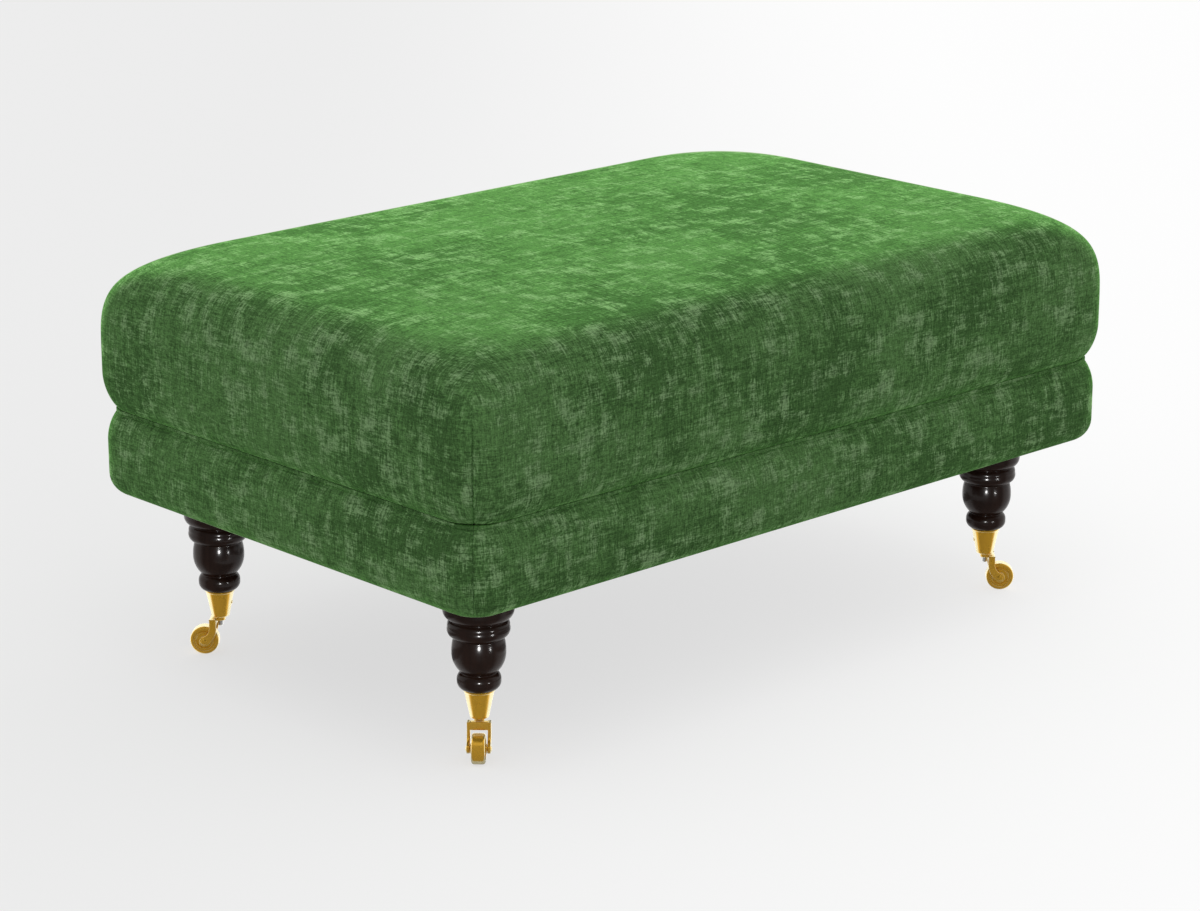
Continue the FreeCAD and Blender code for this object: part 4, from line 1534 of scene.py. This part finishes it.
@dataclass
class TurnedLeg:
    """A leg turned from one piece: a bead, a vase, a ring and the top flange over the cup's tenon."""

    top: float = 177.7 * MM
    cup_top: float = 72.4 * MM
    cup_floor: float = 44.3 * MM
    cup_radius: float = 15.5 * MM
    cup_wall: float = 1.8 * MM
    taper: float = 6.2 / 30.1
    segments: int = 112

    def build(self, corner: Corner, finishes: Finishes) -> None:
        """Makes one leg."""
        shape = lathe(self.profile(), self.segments, closed=False).moved(LegPlace(corner).set_down)
        place(corner.label + "_turned_leg", shape, STOOL, finishes.leg_wood, Slot.LEG_WOOD,
              (corner.label + "_leg",), None)

    def profile(self) -> Array:
        """The half outline from the tenon's foot to the flange's top, in runs of arcs and lines.

        Each member is an arc through three points, and the whole line is softened where the members meet.
        """
        inner = self.cup_radius - self.cup_wall
        foot = self.cup_floor + 4 * MM
        foot_radius = inner - self.taper * (self.cup_top - foot)
        tenon = np.array([[0, foot], [foot_radius, foot], [inner, self.cup_top]])
        members = [
            ((15.5, 72.4), (20.9, 76.4), (22.0, 81.9)),
            ((22.0, 81.9), (21.2, 86.9), (17.8, 90.5)),
            ((17.8, 90.5), (24.2, 98.7), (27.1, 112.2)),
            ((27.1, 112.2), (26.6, 119.5), (24.8, 127.1)),
            ((24.8, 127.1), (30.0, 130.6), (30.9, 138.2)),
            ((30.9, 138.2), (30.2, 142.9), (27.9, 145.7)),
            ((27.9, 145.7), (32.2, 148.0), (35.5, 154.4)),
        ]
        arcs = [arc_points(*(np.array(p) * MM for p in member), 24) for member in members]
        rim = 1.0 * MM
        flange = np.array([[35.5 * MM, self.top - rim], [35.5 * MM - rim, self.top]])
        turned = softened(chain(*arcs, flange), 2.0 * MM, 0.55 * MM)
        top = np.array([[0, self.top]])
        return np.concatenate([tenon, turned, top])


@dataclass
class Castor:
    """A brass cup castor: the cup with its lip and screw, the swivelling fork, the axle and the wheel."""

    wheel_radius: float = 15.5 * MM
    hub_half: float = 8.4 * MM
    rim_half: float = 6.9 * MM
    trail: float = 17.5 * MM
    cup_bottom: float = 42.3 * MM
    cup_top: float = 72.4 * MM
    cup_low_radius: float = 9.3 * MM
    cup_high_radius: float = 15.5 * MM
    cup_wall: float = 1.8 * MM
    cup_floor: float = 2.0 * MM
    fork_top: float = 40.6 * MM
    fork_half: float = 12.05 * MM
    arm: float = 3.4 * MM
    bar_back: float = 4.2 * MM
    bar_front: float = 11.3 * MM
    bar_bottom: float = 31.9 * MM
    tongue: float = 3.2 * MM
    collar_radius: float = 5.2 * MM
    pin_radius: float = 2.0 * MM
    head_radius: float = 3.0 * MM
    proud: float = 1.1 * MM
    running: float = 0.05 * MM
    lip: float = 0.5 * MM
    segments: int = 72

    def build(self, corner: Corner, finishes: Finishes) -> None:
        """Makes one castor: its cup on the stool, its fork and axle on one body, its wheel on another."""
        spot = LegPlace(corner)
        label = corner.label
        fork_body, wheel_body = label + "_fork", label + "_wheel"
        brass = (finishes.brass, Slot.BRASS)
        place(label + "_cup", self.cup().moved(spot.set_down), STOOL, *brass, (label + "_castor_cup",), 30.0)
        place(label + "_cup_screw", self.cup_screw().moved(spot.set_down), STOOL, *brass)
        place(label + "_fork_casting", self.fork().moved(spot.set_down), fork_body, *brass,
              (label + "_castor_fork",), 40.0)
        place(label + "_axle_rivet", self.axle().moved(spot.set_down), fork_body, *brass,
              (label + "_castor_axle",), 40.0)
        place(label + "_brass_wheel", self.wheel().moved(spot.set_down), wheel_body, *brass,
              (label + "_castor_wheel",), 30.0)

    def pintles(self, finishes: Finishes) -> None:
        """Makes the four rivets that the forks turn on."""
        head_top = self.fork_top - self.tongue - 0.1 * MM
        low, top = self.bar_bottom - 1 * MM, self.cup_bottom + self.cup_floor
        dome = arc_points((0, low), (self.head_radius * 0.7, low + 0.4 * MM),
                          (self.head_radius, low + 1.4 * MM), 8)
        shank = np.array([
            [self.head_radius, head_top], [self.pin_radius, head_top],
            [self.pin_radius, top], [0, top],
        ])
        rivet = lathe(np.concatenate([dome, shank]), 32, closed=False)
        rivets = join_all([rivet.moved(LegPlace(corner).set_down) for corner in Corner])
        place("fork_rivets", rivets, STOOL, finishes.steel, Slot.STEEL, ("castor_pintles",), 30.0)

    def cup(self) -> Surface:
        """The tapered cup, with a turned lip round its mouth and a softened foot."""
        floor = self.cup_bottom + self.cup_floor
        taper = (self.cup_high_radius - self.cup_low_radius) / (self.cup_top - self.cup_bottom)
        inner_low = self.cup_low_radius - self.cup_wall + taper * self.cup_floor
        inner_high = self.cup_high_radius - self.cup_wall
        foot = 1.2 * MM
        lip_height = 2.4 * MM
        lip = arc_points(
            (self.cup_high_radius - taper * lip_height, self.cup_top - lip_height),
            (self.cup_high_radius + self.lip, self.cup_top - lip_height / 2),
            (self.cup_high_radius, self.cup_top), 9)
        foot_arc = arc_points(
            (self.cup_low_radius - foot, self.cup_bottom),
            (self.cup_low_radius - foot * 0.29, self.cup_bottom + foot * 0.29),
            (self.cup_low_radius + taper * foot, self.cup_bottom + foot), 7)
        wall = np.linspace(foot_arc[-1], lip[0], 12)[1:]
        inside = np.array([
            [inner_high, self.cup_top], [inner_low, floor],
            [self.pin_radius + 0.02 * MM, floor], [self.pin_radius + 0.02 * MM, self.cup_bottom],
        ])
        return lathe(np.concatenate([foot_arc, wall, lip[1:], inside]), self.segments, closed=True)

    def cup_screw(self) -> Surface:
        """The countersunk screw on the cup's inward side: a shallow dome with a slot across it.

        The dome is turned about its own axis, and the points within the slot are pressed in by its depth.
        """
        height = 58 * MM
        radius = 2.6 * MM
        taper = (self.cup_high_radius - self.cup_low_radius) / (self.cup_top - self.cup_bottom)
        at = self.cup_low_radius + taper * (height - self.cup_bottom)
        dome_height, buried = 0.7 * MM, 1.0 * MM
        slot_half, slot_depth = 0.45 * MM, 0.45 * MM
        rise = np.linspace(QUARTER, 0, 8)
        dome = np.stack([radius * np.cos(rise), dome_height * np.sin(rise)], axis=1)
        profile = np.concatenate([[[0, -buried]], [[radius * 0.6, -buried]], dome[::-1]])
        shape = lathe(profile, 40, closed=False)

        def set_in(points: Array) -> Array:
            x, y, z = points.T
            pressed = np.where((np.abs(y) < slot_half) & (z > 0), z - slot_depth, z)
            lean = math.atan(taper)
            out = at + pressed * math.cos(lean)
            up = height + x - pressed * math.sin(lean)
            return np.stack([-out, y, up], axis=1)

        return shape.moved(set_in)

    def arm_outline(self) -> Array:
        """The side view of an arm, anticlockwise: upright at the bar, then swept out to the axle's eye."""
        x0, x1, top = self.bar_back, self.bar_front, self.fork_top
        back = arc_points((3.8 * MM, 31.0 * MM), (6.4 * MM, 20.4 * MM), (14.1 * MM, 11.8 * MM), 16)
        eye = arc_points((14.1 * MM, 11.8 * MM), (self.trail + 3.55 * MM, self.wheel_radius - 3.5 * MM),
                         (19.8 * MM, 20.0 * MM), 18)
        front = arc_points((19.8 * MM, 20.0 * MM), (13.6 * MM, 24.3 * MM), (x1, 31.0 * MM), 14)
        head = np.array([[x1, top], [x0, top]])
        return softened(chain(head[1:], back, eye, front, head[:1]), 1.6 * MM, 0.6 * MM)

    def fork(self) -> Surface:
        """The cast fork: two arms with rounded edges, the bar between them, the tongue and the collar."""
        inner = self.fork_half - self.arm
        outline = self.arm_outline()
        arms = [
            cushioned_plate(outline, low, low + self.arm, 0.9 * MM)
            for low in (-self.fork_half, inner)
        ]
        deep, tall = self.bar_front - self.bar_back, self.fork_top - self.bar_bottom
        centre = np.array([(self.bar_front + self.bar_back) / 2, 0, (self.fork_top + self.bar_bottom) / 2])
        half = inner + 0.6 * MM
        bar = cushioned_plate(rounded_rectangle(deep, tall, 1.6 * MM), -half, half, 0.3 * MM)
        bar = bar.moved(lambda p: p + centre)
        reach = self.bar_back + 1.5 * MM
        tongue = cushioned_plate(rounded_rectangle(reach, self.tongue, 0.8 * MM), -self.collar_radius,
                                 self.collar_radius, 0.5 * MM)
        tongue = tongue.moved(lambda p: p + np.array([reach / 2, 0, self.fork_top - self.tongue / 2]))
        return join_all(arms + [bar, tongue, self.collar()])

    def collar(self) -> Surface:
        """The ring of the fork round its rivet, with softened edges."""
        low, high = self.fork_top - self.tongue, self.cup_bottom - 0.1 * MM
        bore, edge = self.pin_radius + self.running, 0.5 * MM
        return lathe(np.array([
            [bore, low], [self.collar_radius - edge, low], [self.collar_radius, low + edge],
            [self.collar_radius, high - edge], [self.collar_radius - edge, high], [bore, high],
        ]), 48, closed=True)

    def about_axle(self, surface: Surface) -> Surface:
        """Lays a surface turned about Z along the wheel's axle instead."""
        return surface.moved(lambda p: np.stack([
            self.trail + p[:, 0], p[:, 2], self.wheel_radius + p[:, 1],
        ], axis=1))

    def axle(self) -> Surface:
        """The axle, whose riveted ends stand proud of both arms as low domes."""
        half = self.fork_half + self.proud
        head = 3.4 * MM
        dome = arc_points((0, half), (head * 0.62, half - 0.25 * MM), (head, self.fork_half - 0.05 * MM), 9)
        shank = np.array([[self.pin_radius, self.fork_half - 0.05 * MM]])
        upper = np.concatenate([dome, shank])
        lower = (upper * np.array([1, -1]))[::-1]
        return self.about_axle(lathe(np.concatenate([upper, lower]), 40, closed=False))

    def wheel(self) -> Surface:
        """The solid wheel: a flat tread with rounded edges, and rings turned into each side about the hub."""
        bore, tread = self.pin_radius + self.running, self.wheel_radius
        half = self.rim_half
        side = np.array([
            [bore, self.hub_half], [4.6 * MM, self.hub_half], [5.0 * MM, self.hub_half - 0.4 * MM],
            [5.2 * MM, 5.3 * MM], [8.2 * MM, 5.0 * MM], [8.7 * MM, 5.8 * MM], [9.5 * MM, 5.8 * MM],
            [10.0 * MM, 5.0 * MM], [11.6 * MM, 5.2 * MM], [12.0 * MM, half - 0.2 * MM],
            [12.4 * MM, half], [13.0 * MM, half],
        ])
        edge = arc_points((13.0 * MM, half), (14.75 * MM, half - 0.75 * MM), (tread, half - 2.6 * MM), 9)
        upper = np.concatenate([side, edge[1:]])
        lower = (upper * np.array([1, -1]))[::-1]
        return self.about_axle(lathe(np.concatenate([upper, lower]), 96, closed=True))


# The studio


def direction(azimuth: float, elevation: float) -> Vector:
    """The way from the stool at an azimuth a and an elevation e: (sin a cos e, -cos a cos e, sin e).

    Args:
        azimuth: Degrees about Z from -Y towards +X.
        elevation: Degrees above the level.

    Returns:
        A unit vector.
    """
    a, e = math.radians(azimuth), math.radians(elevation)
    return Vector((math.sin(a) * math.cos(e), -math.cos(a) * math.cos(e), math.sin(e)))


@dataclass(frozen=True)
class Panel:
    """A round lamp: its azimuth and elevation in degrees, its size in metres and its power in watts."""

    azimuth: float
    elevation: float
    size: float
    power: float


@dataclass(frozen=True)
class Studio:
    """The pale floor, the soft lights and the camera."""

    camera_at: Triple = (-2.5462, -2.6863, 1.2950)
    azimuth: float = -43.25
    elevation: float = 16.65
    lens: float = 106.75
    sensor: float = 36.0
    floor_half: float = 60.0
    floor_bounce: float = 0.72
    shadow_share: float = 0.28
    near_grey: float = 0.33
    far_white: float = 1.30
    floor_turn: float = 0.45
    world_turn: float = 0.35
    backdrop_white: float = 0.90
    backdrop: tuple[tuple[float, float], ...] = ((-0.7, 0.847), (0.7, 0.988))
    sky: float = 0.80
    sun: float = 0.35
    sun_angle: float = 50.0
    sun_from: Triple = (-0.25, -0.25, 1.0)
    panels: tuple[Panel, ...] = (Panel(-43.0, 4.0, 0.38, 90.0), Panel(0.0, -1.0, 0.26, 24.0))
    panel_reach: float = 3.0
    panel_height: float = 0.14

    def build(self) -> None:
        """Makes everything that isn't part of the stool."""
        scene = bpy.context.scene
        scene.view_settings.view_transform = "Standard"
        self.camera(scene)
        self.floor()
        self.world(scene)
        self.lights()

    def camera(self, scene: bpy.types.Scene) -> None:
        """The camera, which looks along its own azimuth and elevation."""
        data = bpy.data.cameras.new("camera")
        data.lens = self.lens
        data.sensor_width = self.sensor
        data.clip_end = 200
        camera = bpy.data.objects.new("camera", data)
        camera.location = self.camera_at
        camera.rotation_mode = "QUATERNION"
        camera.rotation_quaternion = (-direction(self.azimuth, self.elevation)).to_track_quat("-Z", "Y")
        scene.collection.objects.link(camera)
        scene.camera = camera

    def towards(self) -> Vector:
        """The level direction from the stool to the camera."""
        return direction(self.azimuth, 0.0)

    def across(self) -> Vector:
        """The level direction that runs to the right of the picture."""
        a = math.radians(self.azimuth)
        return Vector((math.cos(a), math.sin(a), 0))

    def floor(self) -> None:
        """A plain pale floor that takes a light shadow.

        To the camera it has the backdrop's own tone T, paler to the right, times (1 - s) + s E, where s is
        the share of the shadow and E the light that falls on it over that of the open sky. In reflections
        it is grey on the camera's side of the nearest leg and white beyond it. To all other light it is a
        plain pale surface.
        """
        half = self.floor_half
        mesh = bpy.data.meshes.new("floor")
        mesh.from_pydata([(-half, -half, 0), (half, -half, 0), (half, half, 0), (-half, half, 0)], [],
                         [(0, 1, 2, 3)])
        floor = bpy.data.objects.new("floor", mesh)
        bpy.context.scene.collection.objects.link(floor)
        material, nodes, shader = new_material("pale_floor")
        path = nodes.add("ShaderNodeLightPath")
        seen = nodes.math("MAXIMUM", path.outputs["Is Camera Ray"], path.outputs["Is Transmission Ray"])
        glossy = path.outputs["Is Glossy Ray"]
        where = nodes.add("ShaderNodeTexCoord").outputs["Object"]
        (left, low), (right, high) = self.backdrop
        tone = nodes.ramp(nodes.along(where, self.across()), left, right, low, high)
        folded = nodes.vector_math("ABSOLUTE", where)
        folded = nodes.vector_math("SUBTRACT", folded, (LEG_X, LEG_Y, 0))
        away = nodes.vector_math("MULTIPLY", folded, nodes.vector_math("SIGN", where))
        away = nodes.vector_math("NORMALIZE", away)
        mirrored = nodes.ramp(nodes.along(away, self.towards()), 0.0, self.floor_turn,
                              self.far_white, self.near_grey)
        # The camera sees half of the glow and half of the lit surface, so both are doubled
        seen_tone = nodes.math("MULTIPLY", tone, seen)
        seen_glow = nodes.math("MULTIPLY", seen_tone, 2.0 * (1.0 - self.shadow_share))
        glow = nodes.grey(nodes.math("ADD", seen_glow, nodes.math("MULTIPLY", mirrored, glossy)))
        open_sky = self.sky + self.sun / math.pi
        seen_lit = nodes.math("MULTIPLY", seen_tone, 2.0 * self.shadow_share / open_sky)
        unseen = nodes.math("MULTIPLY", nodes.math("SUBTRACT", 1.0, seen), self.floor_bounce)
        lit = nodes.grey(nodes.math("ADD", seen_lit, unseen))
        share = nodes.math("ADD", nodes.math("MULTIPLY", seen, 0.5), glossy, clamp=True)
        surface = nodes.add("ShaderNodeBsdfDiffuse", {"Color": lit}).outputs[0]
        light = nodes.add("ShaderNodeEmission", {"Color": glow, "Strength": 1.0}).outputs[0]
        mixed = nodes.add("ShaderNodeMixShader", {0: share, 1: surface, 2: light}).outputs[0]
        nodes.tree.nodes.remove(shader)
        nodes.link(mixed, nodes.tree.nodes["Material Output"].inputs["Surface"])
        mesh.materials.append(material)

    def world(self, scene: bpy.types.Scene) -> None:
        """Even light from all round, a pale backdrop where the floor ends, and grey behind the camera."""
        world = bpy.data.worlds.new("studio")
        world.use_nodes = True
        nodes = Tree(world.node_tree)
        background = world.node_tree.nodes["Background"]
        path = nodes.add("ShaderNodeLightPath")
        direction = nodes.add("ShaderNodeTexCoord").outputs["Generated"]
        facing = nodes.along(direction, self.towards())
        mirrored = nodes.ramp(facing, 0.0, self.world_turn, self.far_white, self.near_grey)
        mirrored = nodes.grey(mirrored)
        sky, white = ((tone,) * 3 + (1,) for tone in (self.sky, self.backdrop_white))
        colour = nodes.mix(path.outputs["Is Glossy Ray"], sky, mirrored)
        colour = nodes.mix(path.outputs["Is Camera Ray"], colour, white)
        nodes.link(colour, background.inputs["Color"])
        background.inputs["Strength"].default_value = 1.0
        scene.world = world

    def lights(self) -> None:
        """A broad soft light from above, and small panels that only make the highlights on the legs."""
        legs = bpy.data.collections.new("lit_legs")
        for obj in [o for o in bpy.context.scene.objects if o.name.endswith("_turned_leg")]:
            legs.objects.link(obj)
        sun = bpy.data.lights.new("overhead", "SUN")
        sun.energy = self.sun
        sun.angle = math.radians(self.sun_angle)
        lamp = bpy.data.objects.new("overhead", sun)
        lamp.rotation_mode = "QUATERNION"
        lamp.rotation_quaternion = Vector(self.sun_from).to_track_quat("Z", "Y")
        bpy.context.scene.collection.objects.link(lamp)
        for number, panel in enumerate(self.panels):
            out = direction(panel.azimuth, panel.elevation)
            data = bpy.data.lights.new("panel_%d" % number, "AREA")
            data.shape = "DISK"
            data.size = panel.size
            data.energy = panel.power
            lamp = bpy.data.objects.new("panel_%d" % number, data)
            lamp.location = out * self.panel_reach + Vector((0, 0, self.panel_height))
            lamp.rotation_mode = "QUATERNION"
            lamp.rotation_quaternion = out.to_track_quat("Z", "Y")
            lamp.visible_diffuse = False
            lamp.light_linking.receiver_collection = legs
            bpy.context.scene.collection.objects.link(lamp)


def main() -> None:
    """Builds the stool's looks around the frame, and the studio it is seen in."""
    logging.basicConfig(level=logging.INFO, format="%(message)s")
    finishes = Finishes.build()
    SeatCushion().build(finishes)
    Border().build(finishes)
    Suspension().build(finishes)
    WoodenFrame().build(finishes)
    leg, castor = TurnedLeg(), Castor()
    for corner in Corner:
        leg.build(corner, finishes)
        castor.build(corner, finishes)
    castor.pintles(finishes)
    Studio().build()


if __name__ == "__main__":
    main()
